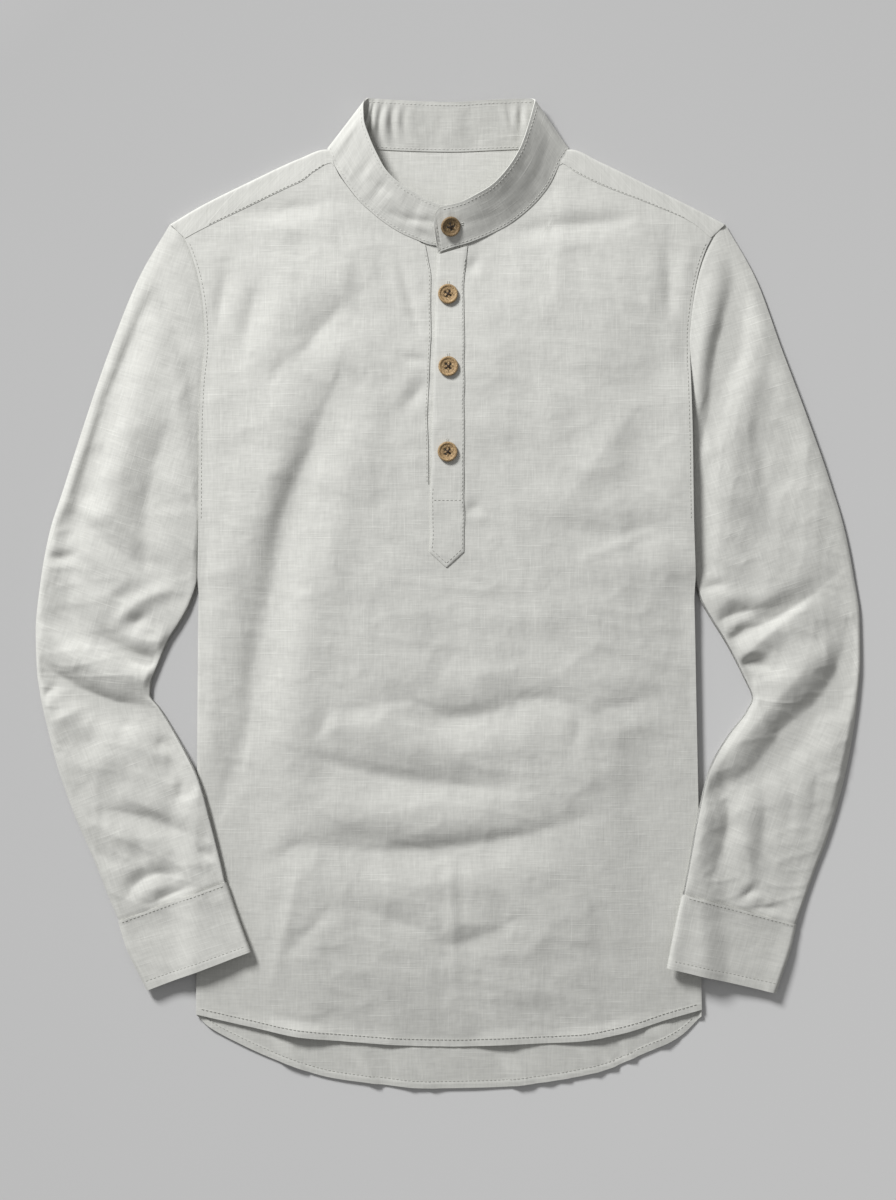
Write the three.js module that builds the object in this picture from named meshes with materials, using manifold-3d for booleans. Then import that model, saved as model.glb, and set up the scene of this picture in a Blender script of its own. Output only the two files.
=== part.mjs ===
// Mandarin collar shirt in slub linen, laid flat on a table with its front up.
// Millimetres, Z up. X runs across the shirt, Y from the hem to the collar, and the table is at z 0.
import * as THREE from "three";
import { mergeVertices } from "three/addons/utils/BufferGeometryUtils.js";
import Module from "manifold-3d";

// Driving dimensions
const CLOTH = 1.4; // one layer of cloth
const CUFF_CLOTH = 1.8; // a cuff has two layers
const SEAM = 0.2; // half of the space at a seam
const ARMHOLE_SEAM = 0.65; // the same beside a sleeve, where two curves meet
const SIDE_SEAM = 0.95; // half of the space between two round edges that lie side by side
const TABLE_LAYER = CLOTH / 2; // middle of a layer that lies on the table
const LOFT = 1.85; // half the height between the middles of a flat tube's two layers
const FRONT_LAYER = TABLE_LAYER + 2 * LOFT; // middle of the front
const EDGE_LAYER = TABLE_LAYER + LOFT; // where the two layers meet at a round edge
const EDGE_ROUND = 8; // width of the front's round side edge
const LAP = CLOTH + 0.4; // a layer that lies on another
const LAYER_GAP = 0.3; // least space between two layers
const BODY_PUFF = 4; // how far the air inside lifts the middle of the front
const SLEEVE_PUFF = 3; // the same for a sleeve
const PUFF_FROM_SIDE = 75; // distance from the side over which the front rises
const PUFF_FROM_END = 110; // the same from its top and its hem
const SHOULDER_Y = 306; // where shoulder and armhole meet
const UNDERARM_Y = 62;
const BACK_YOKE_Y = 277; // seam between yoke and back
const SLIT_LEFT = -15; // the front's slit, filled by the under placket
const SLIT_RIGHT = 10;
const SLIT_END_Y = 88;
const FOLD_LIMIT = 4.5; // how far a fold may rise or sink
const FOLD_BANK = 0.45; // rise of the banks beside a trough, as a share of its depth
const FOLD_BANK_PLACE = 1.9; // where the banks are highest, in reaches from the trough's line
const FOLD_END = 0.12; // how far a fold has faded at its ends
const SLEEVE_RIDE = 6.1; // how high a sleeve is carried by the body under it
const RIDE_REACH = 26; // how far beside the body it comes down to the table
const RIDE_FROM_Y = -75; // a sleeve lies on the body below this
const PRESSED_X = 140; // outside this and below the next, sleeves press the front down
const PRESSED_Y = -125;
const PRESSED_RISE = 0.2;
const BUTTON_DIAMETER = 16.5;
const BUTTON_HEIGHT = 2.6;
const BUTTON_HOLE = 2.1;
const BUTTON_HOLE_SPREAD = 3.6;
const REST_GAP = 0.3; // what lies on cloth stays this far off it

// Outline tables in millimetres, read along their first column
const BODY_SIDES = table("y left right", [
  [-380, -209.5, 211],
  [-345, -209.2, 210.5],
  [-200, -208.5, 208],
  [-100, -208, 206],
  [0, -207, 204],
  [62, -206, 202],
  [128, -205.5, 201],
  [169, -204, 200],
  [211, -200.5, 199],
  [236, -202, 201],
  [261, -206, 205],
  [284, -213, 212],
  [295.5, -218.5, 218],
  [303, -224.5, 224],
  [306, -231, 230],
]);
const FRONT_TOP = table("x y", [
  [-218, 295.5],
  [-206, 302],
  [-165, 322],
  [-135, 336.5],
  [-121, 343],
  [-110, 351.5],
  [-97, 358],
  [-90, 345.5],
  [-82, 334.5],
  [-73, 323.5],
  [-57, 309.5],
  [-40, 298.5],
  [-23, 291],
  [-8, 286],
  [1, 285.7],
  [16, 289.5],
  [35, 297],
  [51, 306],
  [68, 319],
  [76, 327.5],
  [84.5, 338.5],
  [94, 357.5],
  [104, 351],
  [126, 340],
  [167, 324],
  [201, 309],
  [218, 295.5],
]);
const FRONT_HEM = table("x y", [
  [-209.5, -348.5],
  [-165, -358.5],
  [-123, -367],
  [-81, -371],
  [-40, -374],
  [1, -375],
  [60, -373],
  [105, -371],
  [143, -364.5],
  [184, -352],
  [210.5, -344.5],
]);
const BACK_HEM = table("x y", [
  [-209, -349],
  [-200, -358],
  [-173, -373],
  [-144, -386],
  [-98, -401],
  [-61, -406],
  [-19, -410],
  [40, -409],
  [85, -404],
  [126, -396],
  [159, -382.5],
  [192, -367],
  [210, -350],
]);
const SHOULDER = table("x y", [
  [-231, 306],
  [-206, 321],
  [-165, 341.5],
  [-123, 361],
  [-101.5, 368.5],
  [-63, 368.7],
  [-40, 366.8],
  [1, 365.8],
  [43, 367.3],
  [101, 368.5],
  [126, 358],
  [167, 338],
  [209, 317],
  [230, 306],
]);
const SLEEVES = {
  left: table("outerX outerY innerX innerY", [
    [-231, 306, -206, 62],
    [-256, 263, -206.5, 50],
    [-281, 201, -207, 32],
    [-303, 137, -207.7, 12],
    [-318, 90, -214, -9],
    [-331, 49, -222, -24],
    [-338, 10, -231, -38],
    [-342, -30, -240, -59],
    [-341, -62, -246, -75],
    [-338, -85, -246.5, -84],
    [-332, -112, -239, -94],
    [-324, -143, -223, -120],
    [-310, -183, -206, -153],
    [-293, -222, -196, -188],
    [-282, -250, -188, -220],
    [-273, -271, -184, -238],
  ]),
  right: table("outerX outerY innerX innerY", [
    [230, 306, 202, 62],
    [255, 261, 202.5, 50],
    [277, 201, 203, 32],
    [299, 142, 204, 14],
    [315, 97, 209, -5],
    [328, 55, 217, -20],
    [336, 15, 227, -36],
    [341, -20, 236, -52],
    [341.5, -55, 244, -68],
    [339.5, -85, 251.5, -86],
    [336, -113, 247, -97],
    [329, -150, 232, -117],
    [317, -194, 215, -147],
    [304, -229, 206, -183],
    [295, -254, 199, -222],
    [288, -274, 194, -248],
  ]),
};
const CUFFS = {
  left: table("outerX outerY innerX innerY", [
    [-273, -271, -184, -238],
    [-267, -291, -174.5, -266],
    [-249, -328, -163.5, -295.5],
  ]),
  right: table("outerX outerY innerX innerY", [
    [288, -274, 194, -248],
    [284, -291, 188.5, -272],
    [270.5, -330.5, 181, -309],
  ]),
};
// From the end that lies on top, round the neck to the end under it
const COLLAR = table("baseX baseY baseZ topX topY topZ", [
  [-8.5, 282.6, 6.3, -12.6, 305, 11.4],
  [-7, 283.4, 6.3, -10.5, 314.5, 14],
  [-4, 284.4, 6.3, -6, 319, 15.2],
  [1.5, 286.3, 6.3, 1.5, 320.8, 15.6],
  [17.3, 291, 6.1, 10.5, 323, 15.6],
  [35, 298.3, 5.2, 23, 329, 15.5],
  [51.3, 307, 4.5, 35, 336, 15.8],
  [68, 320.2, 4.4, 43.5, 344, 16.3],
  [76, 328.6, 4.4, 51.5, 354, 16.8],
  [84.3, 340, 4.4, 59.6, 368, 16.6],
  [92.6, 357, 4.4, 66.5, 388, 15.2],
  [98.6, 366, 4, 70.4, 402.5, 12.8],
  [99.4, 369.2, 2.6, 71.6, 407.4, 9],
  [96, 369.7, 0.9, 69, 409.4, 5.6],
  [76, 369.6, 0.7, 64.5, 409.6, 4.6],
  [43, 368.3, 0.7, 43, 409.3, 4.2],
  [1.5, 366.8, 0.7, 1.5, 407, 4],
  [-40, 367.8, 0.7, -40, 408.5, 4.2],
  [-73, 369.6, 0.7, -62, 409.8, 4.6],
  [-96, 369.7, 0.9, -66, 410, 5.6],
  [-99.8, 369.2, 2.6, -68.6, 408, 9],
  [-99, 366, 4, -70, 402, 12.6],
  [-95.2, 357, 4.4, -69.6, 392, 14.2],
  [-87.2, 343.5, 4.4, -65, 377, 14.8],
  [-81.2, 335, 4.4, -58.5, 362.5, 14.8],
  [-73, 325, 4.4, -51.8, 350.6, 14.4],
  [-64.6, 317.2, 4.4, -44.2, 342.4, 14],
  [-56.4, 310.4, 4.4, -36.8, 336.2, 13.8],
  [-40, 299.7, 4.4, -27.6, 330.8, 13.7],
  [-27.4, 294, 4.4, -15, 324.2, 13.6],
  [-15, 289.4, 4.4, -3.5, 320.6, 13.6],
  [2, 287, 4.4, 9.5, 320.4, 13.5],
]);
const PLACKET_OVER = table("y left right", [
  [22.5, -2.4, -0.6],
  [35, -15.2, 13],
  [77, -14.4, 12.9],
  [161, -12.6, 13.1],
  [244, -10, 12.6],
  [262, -9.8, 13.2],
  [281.8, -9.4, 15.6],
]);
const PLACKET_SLANT = { left: -1, right: 6.5 }; // its top end follows the neck
const BUTTON_PLACES = table("x y", [
  [-0.2, 248],
  [0.1, 188],
  [-0.6, 117.5],
]);
const COLLAR_BUTTON = { along: 3, up: 0.5 };

// Soft folds in the cloth: two ends, a middle point, the depth (less than 0 for a trough) and the reach
const BODY_FOLDS = table("fromX fromY midX midY toX toY depth reach", [
  [-28, -88, 26, -98, 93, -90, -3.2, 12],
  [80, -92, 110, -87, 135, -92, -2.2, 11],
  [-86, -134, -15, -150, 43, -158, -3, 13],
  [-123, -225, -81, -204, 8, -207, -3.6, 13],
  [-5, -207, 60, -197, 112, -189, -2.8, 12],
  [-110, 130, -128, 78, -152, 40, -2.6, 13],
  [-147, 58, -157, 5, -172, -60, -3, 12],
  [-170, -45, -177, -85, -179, -130, -2.2, 12],
  [-178, -115, -180, -160, -179, -215, -2, 13],
  [43, 304, 93, 302, 200, 309, -1.4, 9],
  [-181, 300, -185, 275, -199, 240, -1.4, 8],
  [-154, 260, -160, 230, -164, 202, -1.7, 11],
  [-81, 277, -102, 245, -124, 208, -2.4, 12],
  [181, 285, 183, 260, 181, 236, -1.8, 9],
  [40, 70, 90, 20, 150, 0, 1.4, 22],
  [-130, 150, -90, 60, -60, -20, 1.5, 26],
  [60, -130, 110, -150, 160, -140, 1.5, 20],
]);
const SLEEVE_FOLDS = {
  left: table("fromX fromY midX midY toX toY depth reach", [
    [-247, 286, -258, 227, -275, 172, -3, 10],
    [-270, 180, -289, 120, -303, 80, -3, 10],
    [-300, 88, -315, 54, -331, 31, -3.4, 9],
    [-235, 96, -242, 60, -248, 26, -2.6, 9],
    [-256, -1, -233, 3, -210, 8, 3.4, 9],
    [-266, -44, -252, -51, -237, -55, -4, 8],
    [-336, -50, -318, -70, -294, -82, -3.8, 10],
    [-302, -78, -275, -90, -250, -95, -3.6, 10],
    [-328, -24, -298, -46, -262, -64, 3, 11],
    [-300, -112, -285, -135, -262, -150, 1.8, 12],
    [-287, -178, -256, -184, -226, -196, -2.4, 9],
    [-264, -250, -248, -237, -214, -239, -2, 7],
  ]),
  right: table("fromX fromY midX midY toX toY depth reach", [
    [227, 296, 233, 269, 231, 240, -3.4, 8],
    [232, 250, 225, 212, 212, 165, -4.2, 9],
    [214, 175, 208, 150, 205, 130, -3, 8],
    [206, 140, 209, 70, 208, 14, -2.4, 8],
    [268, -8, 243, -21, 229, -32, -2.6, 8],
    [322, 13, 292, -9, 262, -40, -3.4, 10],
    [331, -48, 322, -80, 288, -99, -4, 12],
    [294, -94, 268, -121, 240, -151, -3.8, 12],
    [244, -148, 230, -155, 214, -159, -2.6, 9],
    [330, -20, 300, -52, 266, -78, 3, 11],
    [227, -163, 225, -196, 224, -230, -1.6, 8],
    [275, -170, 273, -200, 269, -232, -1.5, 9],
  ]),
};

// Colours of the pieces
const LINEN = 0xcfd0ca;
const LINEN_IN = 0xc4c6bf;
const COCONUT = 0xc29a66;
const COCONUT_DARK = 0x9a7a52;

// Rows of a table, each one an object with the table's column names.
function table(columns, rows) {
  const names = columns.split(" ");
  return rows.map((row) => Object.fromEntries(names.map((name, i) => [name, row[i]])));
}

const clamp = (v, low, high) => Math.min(Math.max(v, low), high);
const mix = (a, b, t) => a + (b - a) * t;
const ease = (t) => {
  const c = clamp(t, 0, 1);
  return c * c * (3 - 2 * c);
};

// A height that levels out softly before it reaches the cloth beneath.
const keptAbove = (height, lowest) => {
  const over = height - lowest;
  return lowest + (over + Math.sqrt(over * over + 0.8)) / 2;
};

// Slope of column name at row i, flat where the column turns back.
function slopeAt(rows, keys, i, name) {
  const before = i > 0 ? (rows[i][name] - rows[i - 1][name]) / (keys[i] - keys[i - 1]) : null;
  const after =
    i < rows.length - 1 ? (rows[i + 1][name] - rows[i][name]) / (keys[i + 1] - keys[i]) : null;
  if (before === null) return after;
  if (after === null) return before;
  return before * after <= 0 ? 0 : (2 * before * after) / (before + after);
}

// Smooth value of a column at a key, through the table's rows.
function smooth(rows, keys, key, name) {
  let i = 0;
  while (i < rows.length - 2 && key > keys[i + 1]) i += 1;
  const step = keys[i + 1] - keys[i];
  const t = clamp((key - keys[i]) / step, 0, 1);
  const a = rows[i][name];
  const b = rows[i + 1][name];
  const slopeA = slopeAt(rows, keys, i, name) * step;
  const slopeB = slopeAt(rows, keys, i + 1, name) * step;
  return (
    a * (1 + 2 * t) * (1 - t) ** 2 +
    slopeA * t * (1 - t) ** 2 +
    b * t * t * (3 - 2 * t) -
    slopeB * t * t * (1 - t)
  );
}

const alongX = (rows, x, name = "y") => smooth(rows, rows.map((r) => r.x), x, name);
const alongY = (rows, y, name) => smooth(rows, rows.map((r) => r.y), y, name);
const byRow = (rows, at, name) => smooth(rows, rows.map((r, i) => i), at, name);

// Points of a fold's curve, from one end through its middle point to the other.
function foldCurve(fold, steps = 8) {
  const from = new THREE.Vector2(fold.fromX, fold.fromY);
  const to = new THREE.Vector2(fold.toX, fold.toY);
  const middle = new THREE.Vector2(fold.midX, fold.midY);
  const pull = middle.clone().multiplyScalar(2).addScaledVector(from, -0.5).addScaledVector(to, -0.5);
  return new THREE.QuadraticBezierCurve(from, pull, to).getPoints(steps);
}

// A function that gives the rise of the cloth at x, y from a table of folds.
function reliefOf(folds) {
  const curves = folds.map((fold) => ({ ...fold, points: foldCurve(fold) }));
  return (x, y) => {
    const rise = curves.reduce((sum, { points, depth, reach }) => {
      let near = Infinity;
      let place = 0;
      for (let i = 0; i < points.length - 1; i += 1) {
        const a = points[i];
        const b = points[i + 1];
        const length = a.distanceToSquared(b);
        const t = clamp(((x - a.x) * (b.x - a.x) + (y - a.y) * (b.y - a.y)) / length, 0, 1);
        const off = Math.hypot(x - mix(a.x, b.x, t), y - mix(a.y, b.y, t));
        if (off < near) {
          near = off;
          place = (i + t) / (points.length - 1);
        }
      }
      const across = near / reach;
      const bank = FOLD_BANK * Math.exp(-((across - FOLD_BANK_PLACE) ** 2));
      const taper = Math.sin(Math.PI * mix(FOLD_END, 1 - FOLD_END, place)) ** 0.8;
      return sum + depth * taper * (Math.exp(-across * across) - bank);
    }, 0);
    return FOLD_LIMIT * Math.tanh(rise / FOLD_LIMIT);
  };
}

const bodyRelief = reliefOf(BODY_FOLDS);

// A closed wall of even thickness round a grid of middle points. keep(i, j) leaves cells out;
// around joins the last column to the first.
function wall({ columns, rows, point, thickness = CLOTH, keep = () => true, around = false }) {
  const across = around ? columns : columns + 1;
  const middle = [];
  for (let j = 0; j <= rows; j += 1)
    for (let i = 0; i < across; i += 1) middle.push(point(i, j));
  const wrapped = (i) => (around ? (i + columns) % columns : i);
  const at = (i, j) => wrapped(i) + j * across;
  const inGrid = (i, j) => j >= 0 && j < rows && (around || (i >= 0 && i < columns));
  const kept = (i, j) => inGrid(i, j) && keep(wrapped(i), j);
  const normals = middle.map(() => new THREE.Vector3());
  const a = new THREE.Vector3();
  const b = new THREE.Vector3();
  for (let j = 0; j < rows; j += 1)
    for (let i = 0; i < columns; i += 1) {
      if (!kept(i, j)) continue;
      const corners = [at(i, j), at(i + 1, j), at(i + 1, j + 1), at(i, j + 1)];
      a.subVectors(middle[corners[2]], middle[corners[0]]);
      b.subVectors(middle[corners[3]], middle[corners[1]]);
      const face = a.cross(b).normalize();
      corners.forEach((corner) => normals[corner].add(face));
    }
  const place = [];
  const move = (sign) =>
    middle.forEach((p, i) => {
      const q = p.clone().addScaledVector(normals[i].clone().normalize(), (sign * thickness) / 2);
      place.push(q.x, q.y, q.z);
    });
  move(1);
  move(-1);
  const under = middle.length;
  const index = [];
  const quad = (p, q, r, s) => index.push(p, q, r, p, r, s);
  for (let j = 0; j < rows; j += 1)
    for (let i = 0; i < columns; i += 1) {
      if (!kept(i, j)) continue;
      const [p, q, r, s] = [at(i, j), at(i + 1, j), at(i + 1, j + 1), at(i, j + 1)];
      quad(p, q, r, s);
      quad(p + under, s + under, r + under, q + under);
      if (!kept(i, j - 1)) quad(p, p + under, q + under, q);
      if (!kept(i + 1, j)) quad(q, q + under, r + under, r);
      if (!kept(i, j + 1)) quad(r, r + under, s + under, s);
      if (!kept(i - 1, j)) quad(s, s + under, p + under, p);
    }
  const geometry = new THREE.BufferGeometry();
  geometry.setAttribute("position", new THREE.Float32BufferAttribute(place, 3));
  geometry.setIndex(index);
  return tidy(geometry);
}

// The same geometry without the points that no face uses.
function tidy(geometry) {
  const loose = geometry.toNonIndexed();
  loose.deleteAttribute("normal");
  loose.deleteAttribute("uv");
  const merged = mergeVertices(loose, 1e-4);
  merged.computeVertexNormals();
  return merged;
}

const shirt = new THREE.Group();

function addPiece(name, geometry, color, roughness = 0.92) {
  const material = new THREE.MeshStandardMaterial({ color, roughness, metalness: 0 });
  const mesh = new THREE.Mesh(geometry, material);
  mesh.name = name;
  shirt.add(mesh);
  return mesh;
}

// Height of a flat tube's round edge: 0 at the edge, 1 on its flat top. across runs from 0 to 1.
const tubeHeight = (across) => Math.sqrt(Math.max(0, 1 - Math.abs(2 * across - 1) ** 8));

// Share of the way down the armhole, from the shoulder to the underarm.
const armholeShare = (y) => clamp((SHOULDER_Y - y) / (SHOULDER_Y - UNDERARM_Y), 0, 1);

// Middle of the front's cloth where it ends at the side or the armhole.
const edgeLayer = (y) => EDGE_LAYER + LOFT * tubeHeight(armholeShare(y));

// How far the front stays inside the outline: little at the armhole, more at the round side.
const frontInset = (y) => mix(SIDE_SEAM, ARMHOLE_SEAM, ease((y - UNDERARM_Y) / 30));

// How far a forearm or cuff presses the front down at x, y.
const pressed = (x, y) => ease((Math.abs(x) - PRESSED_X) / 30) * ease((PRESSED_Y - y) / 30);

// Middle of the front's cloth at x, y.
function frontHeight(x, y) {
  const fromEdge = Math.min(x - alongY(BODY_SIDES, y, "left"), alongY(BODY_SIDES, y, "right") - x);
  const fromTop = alongX(FRONT_TOP, x) - y;
  const fromHem = y - alongX(FRONT_HEM, x);
  const t = clamp((fromEdge - frontInset(y)) / EDGE_ROUND, 0, 1);
  const rounded = mix(edgeLayer(y), FRONT_LAYER, Math.sqrt(1 - (1 - t) ** 2));
  const inside = ease(fromTop / PUFF_FROM_END) * ease(fromHem / PUFF_FROM_END);
  const puff = BODY_PUFF * ease(fromEdge / PUFF_FROM_SIDE) * inside;
  const free = bodyRelief(x, y) * ease(fromTop / 25) * ease(fromHem / 25) + puff;
  const rise = mix(free, Math.min(free, PRESSED_RISE), pressed(x, y)) * ease(fromEdge / 20);
  const lowest = Math.min(TABLE_LAYER + CLOTH + LAYER_GAP, rounded - 0.45);
  return rise < 0 ? keptAbove(rounded + rise, lowest) : rounded + rise;
}

// The front: a grid between the top line and the hem, with straight columns beside the slit.
const FRONT_COLUMNS = [
  -218, -216.5, -212, -202, -186, -166, -144, -122, -108, -97, -89, -79, -68, -54, -40, -27, SLIT_LEFT,
  SLIT_RIGHT, 23, 36, 51, 66, 77, 86, 94, 105, 121, 143, 165, 186, 202, 212, 216.5, 218,
];
const SLIT_SHARE = 0.303; // the slit's length as a share of the front's
const FRONT_ROWS = [
  0, 0.03, 0.06, 0.09, 0.12, 0.16, 0.21, 0.255, 0.303, 0.345, 0.39, 0.435, 0.48, 0.515, 0.545, 0.565, 0.585,
  0.605, 0.625, 0.645, 0.665, 0.685, 0.71, 0.73, 0.75, 0.77, 0.8, 0.84, 0.89, 0.94, 0.98, 1,
];

function frontPoint(i, j) {
  const topX = FRONT_COLUMNS[i];
  const down = FRONT_ROWS[j];
  const first = FRONT_COLUMNS[0];
  const last = FRONT_COLUMNS[FRONT_COLUMNS.length - 1];
  const leftSide = clamp((topX - SLIT_LEFT) / (first - SLIT_LEFT), 0, 1);
  const rightSide = clamp((topX - SLIT_RIGHT) / (last - SLIT_RIGHT), 0, 1);
  const hemLeft = BODY_SIDES[1].left;
  const hemRight = BODY_SIDES[1].right;
  const hemX = topX + leftSide * (hemLeft - first) + rightSide * (hemRight - last);
  const topY = alongX(FRONT_TOP, clamp(topX, first, last));
  const y = mix(topY - SEAM, alongX(FRONT_HEM, hemX), down);
  const leftEnd = mix(alongX(FRONT_TOP, first), alongX(FRONT_HEM, hemLeft), down);
  const rightEnd = mix(alongX(FRONT_TOP, last), alongX(FRONT_HEM, hemRight), down);
  const leftEdge = alongY(BODY_SIDES, leftEnd, "left") + frontInset(leftEnd);
  const rightEdge = alongY(BODY_SIDES, rightEnd, "right") - frontInset(rightEnd);
  const leftBow = leftEdge - mix(first, hemLeft, down);
  const rightBow = rightEdge - mix(last, hemRight, down);
  let x = mix(topX, hemX, down) + leftSide * leftBow + rightSide * rightBow;
  if (down <= SLIT_SHARE && topX === SLIT_LEFT) x -= SEAM;
  if (down <= SLIT_SHARE && topX === SLIT_RIGHT) x += SEAM;
  return new THREE.Vector3(x, y, frontHeight(x, y));
}

function frontGeometry() {
  const slitColumn = FRONT_COLUMNS.indexOf(SLIT_LEFT);
  const inSlit = (i, j) => i === slitColumn && FRONT_ROWS[j + 1] <= SLIT_SHARE;
  return wall({
    columns: FRONT_COLUMNS.length - 1,
    rows: FRONT_ROWS.length - 1,
    point: (i, j) => frontPoint(FRONT_COLUMNS.length - 1 - i, j),
    keep: (i, j) => !inSlit(FRONT_COLUMNS.length - 2 - i, j),
  });
}

// The back: flat on the table, from the yoke's seam to the longer hem.
const BACK_ROWS = [0, 0.018, 0.036, 0.054, 0.075, 0.1, 0.13, 0.17, 0.24, 0.36, 0.52, 0.68, 0.84, 1];

function backGeometry() {
  const columns = 14;
  const rows = BACK_ROWS.length - 1;
  return wall({
    columns,
    rows,
    point: (i, j) => {
      const share = 1 - i / columns;
      const down = BACK_ROWS[j];
      const hemX = mix(BACK_HEM[0].x, BACK_HEM[BACK_HEM.length - 1].x, share);
      const hemY = alongX(BACK_HEM, hemX);
      const y = mix(BACK_YOKE_Y - SEAM, hemY, down);
      const sideY = mix(BACK_YOKE_Y - SEAM, BACK_HEM[0].y, down);
      const left = alongY(BODY_SIDES, sideY, "left") + ARMHOLE_SEAM;
      const right = alongY(BODY_SIDES, sideY, "right") - ARMHOLE_SEAM;
      return new THREE.Vector3(mix(left, right, share), y, TABLE_LAYER);
    },
  });
}

// The yoke: from its back seam up to the shoulder line, round the fold and down to its front seam.
const YOKE_COLUMNS = [
  -231, -226, -216, -202, -184, -165, -144, -123, -111, -101.5, -80, -50, -20, 20, 50, 80, 101, 111, 123, 144,
  165, 184, 202, 216, 225, 230,
];
const YOKE_BACK_ROWS = 5;
const YOKE_FOLD_ROWS = 4;
const YOKE_FRONT_ROWS = 2;
const YOKE_FOLD_INSET = LOFT + CLOTH / 2;
const NECK_LEFT = -101.5;
const NECK_RIGHT = 101;
const YOKE_SEAM = { left: -218.5 + ARMHOLE_SEAM, neckLeft: -98.5, neckRight: 96, right: 218 - ARMHOLE_SEAM };

function yokePoint(i, j) {
  const x = YOKE_COLUMNS[i];
  const first = YOKE_COLUMNS[0];
  const last = YOKE_COLUMNS[YOKE_COLUMNS.length - 1];
  const shoulderX = clamp(x, first + 2 * ARMHOLE_SEAM, last - 2 * ARMHOLE_SEAM);
  const shoulder = new THREE.Vector2(shoulderX, alongX(SHOULDER, x));
  const inNeck = x > NECK_LEFT && x < NECK_RIGHT;
  // The front seam below this column, or straight down at the neck
  const leftShare = clamp((x - NECK_LEFT) / (first - NECK_LEFT), 0, 1);
  const rightShare = clamp((x - NECK_RIGHT) / (last - NECK_RIGHT), 0, 1);
  const seamX =
    x < 0
      ? mix(YOKE_SEAM.neckLeft, YOKE_SEAM.left, leftShare)
      : mix(YOKE_SEAM.neckRight, YOKE_SEAM.right, rightShare);
  const seam = new THREE.Vector2(seamX, alongX(FRONT_TOP, seamX) + 2 * SEAM);
  const inward = inNeck ? new THREE.Vector2(0, -1) : seam.clone().sub(shoulder).normalize();
  const foldCentre = shoulder.clone().addScaledVector(inward, YOKE_FOLD_INSET);
  if (j <= YOKE_BACK_ROWS) {
    const up = j / YOKE_BACK_ROWS;
    const backLeft = alongY(BODY_SIDES, BACK_YOKE_Y, "left") + ARMHOLE_SEAM;
    const backRight = alongY(BODY_SIDES, BACK_YOKE_Y, "right") - ARMHOLE_SEAM;
    const backX = mix(backLeft, backRight, (x - first) / (last - first));
    const top = inNeck ? shoulder : foldCentre;
    const y = mix(BACK_YOKE_Y + SEAM, top.y, up);
    let px = mix(backX, top.x, up);
    if (leftShare > 0) {
      const sideY = mix(BACK_YOKE_Y, SHOULDER_Y, up);
      const bow = alongY(BODY_SIDES, sideY, "left") + ARMHOLE_SEAM - mix(backLeft, first, up);
      px += bow * leftShare ** 4 * (up < 1 ? 1 : 0);
    }
    if (rightShare > 0) {
      const sideY = mix(BACK_YOKE_Y, SHOULDER_Y, up);
      const bow = alongY(BODY_SIDES, sideY, "right") - ARMHOLE_SEAM - mix(backRight, last, up);
      px += bow * rightShare ** 4 * (up < 1 ? 1 : 0);
    }
    return new THREE.Vector3(px, y, TABLE_LAYER);
  }
  const turn = (j - YOKE_BACK_ROWS) / YOKE_FOLD_ROWS;
  if (turn <= 1) {
    const angle = mix(-Math.PI / 2, Math.PI / 2, turn);
    const out = foldCentre.clone().addScaledVector(inward, -LOFT * Math.cos(angle));
    return new THREE.Vector3(out.x, out.y, EDGE_LAYER + LOFT * Math.sin(angle));
  }
  const down = (j - YOKE_BACK_ROWS - YOKE_FOLD_ROWS) / YOKE_FRONT_ROWS;
  const place = foldCentre.clone().lerp(seam, down);
  const leftEnd = alongY(BODY_SIDES, place.y, "left") + ARMHOLE_SEAM;
  const rightEnd = alongY(BODY_SIDES, place.y, "right") - ARMHOLE_SEAM;
  return new THREE.Vector3(clamp(place.x, leftEnd, rightEnd), place.y, FRONT_LAYER);
}

function yokeGeometry() {
  const columns = YOKE_COLUMNS.length - 1;
  const neckStart = YOKE_COLUMNS.indexOf(NECK_LEFT);
  const neckEnd = YOKE_COLUMNS.indexOf(NECK_RIGHT);
  return wall({
    columns,
    rows: YOKE_BACK_ROWS + YOKE_FOLD_ROWS + YOKE_FRONT_ROWS,
    point: yokePoint,
    keep: (i, j) => j < YOKE_BACK_ROWS || i < neckStart || i >= neckEnd,
  });
}

const COLLAR_CURVE = 1.35; // above 1, the band rises more steeply towards its top edge

// The collar band: an open strip round the neck whose ends lap at the front.
function collarPoint(along, up) {
  const value = (name) => byRow(COLLAR, along, name);
  return new THREE.Vector3(
    mix(value("baseX"), value("topX"), up),
    mix(value("baseY"), value("topY"), up),
    mix(value("baseZ"), value("topZ"), up ** COLLAR_CURVE),
  );
}

function collarGeometry() {
  const rowsUp = 5;
  const steps = COLLAR.length - 1;
  const halves = 2;
  return wall({
    columns: steps * halves,
    rows: rowsUp,
    point: (i, j) => collarPoint(i / halves, j / rowsUp),
  });
}

// How high a sleeve or cuff is carried at x, y by the body that it lies on.
function ride(side, x, y) {
  const inside =
    side === "left" ? x - alongY(BODY_SIDES, y, "left") : alongY(BODY_SIDES, y, "right") - x;
  return SLEEVE_RIDE * ease((inside + RIDE_REACH) / (RIDE_REACH + 2)) * ease((RIDE_FROM_Y - y) / 35);
}

// A point on a flat tube: along its table's rows, across from the outer edge to the inner one.
function tubePlace(rows, along, across, inset) {
  const outer = new THREE.Vector2(byRow(rows, along, "outerX"), byRow(rows, along, "outerY"));
  const inner = new THREE.Vector2(byRow(rows, along, "innerX"), byRow(rows, along, "innerY"));
  const over = inner.clone().sub(outer).normalize().multiplyScalar(inset);
  outer.add(over);
  inner.sub(over);
  return outer.lerp(inner, across);
}

const BEND_ROWS = 5; // rows of a sleeve's table over which the armhole's curve fades

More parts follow.
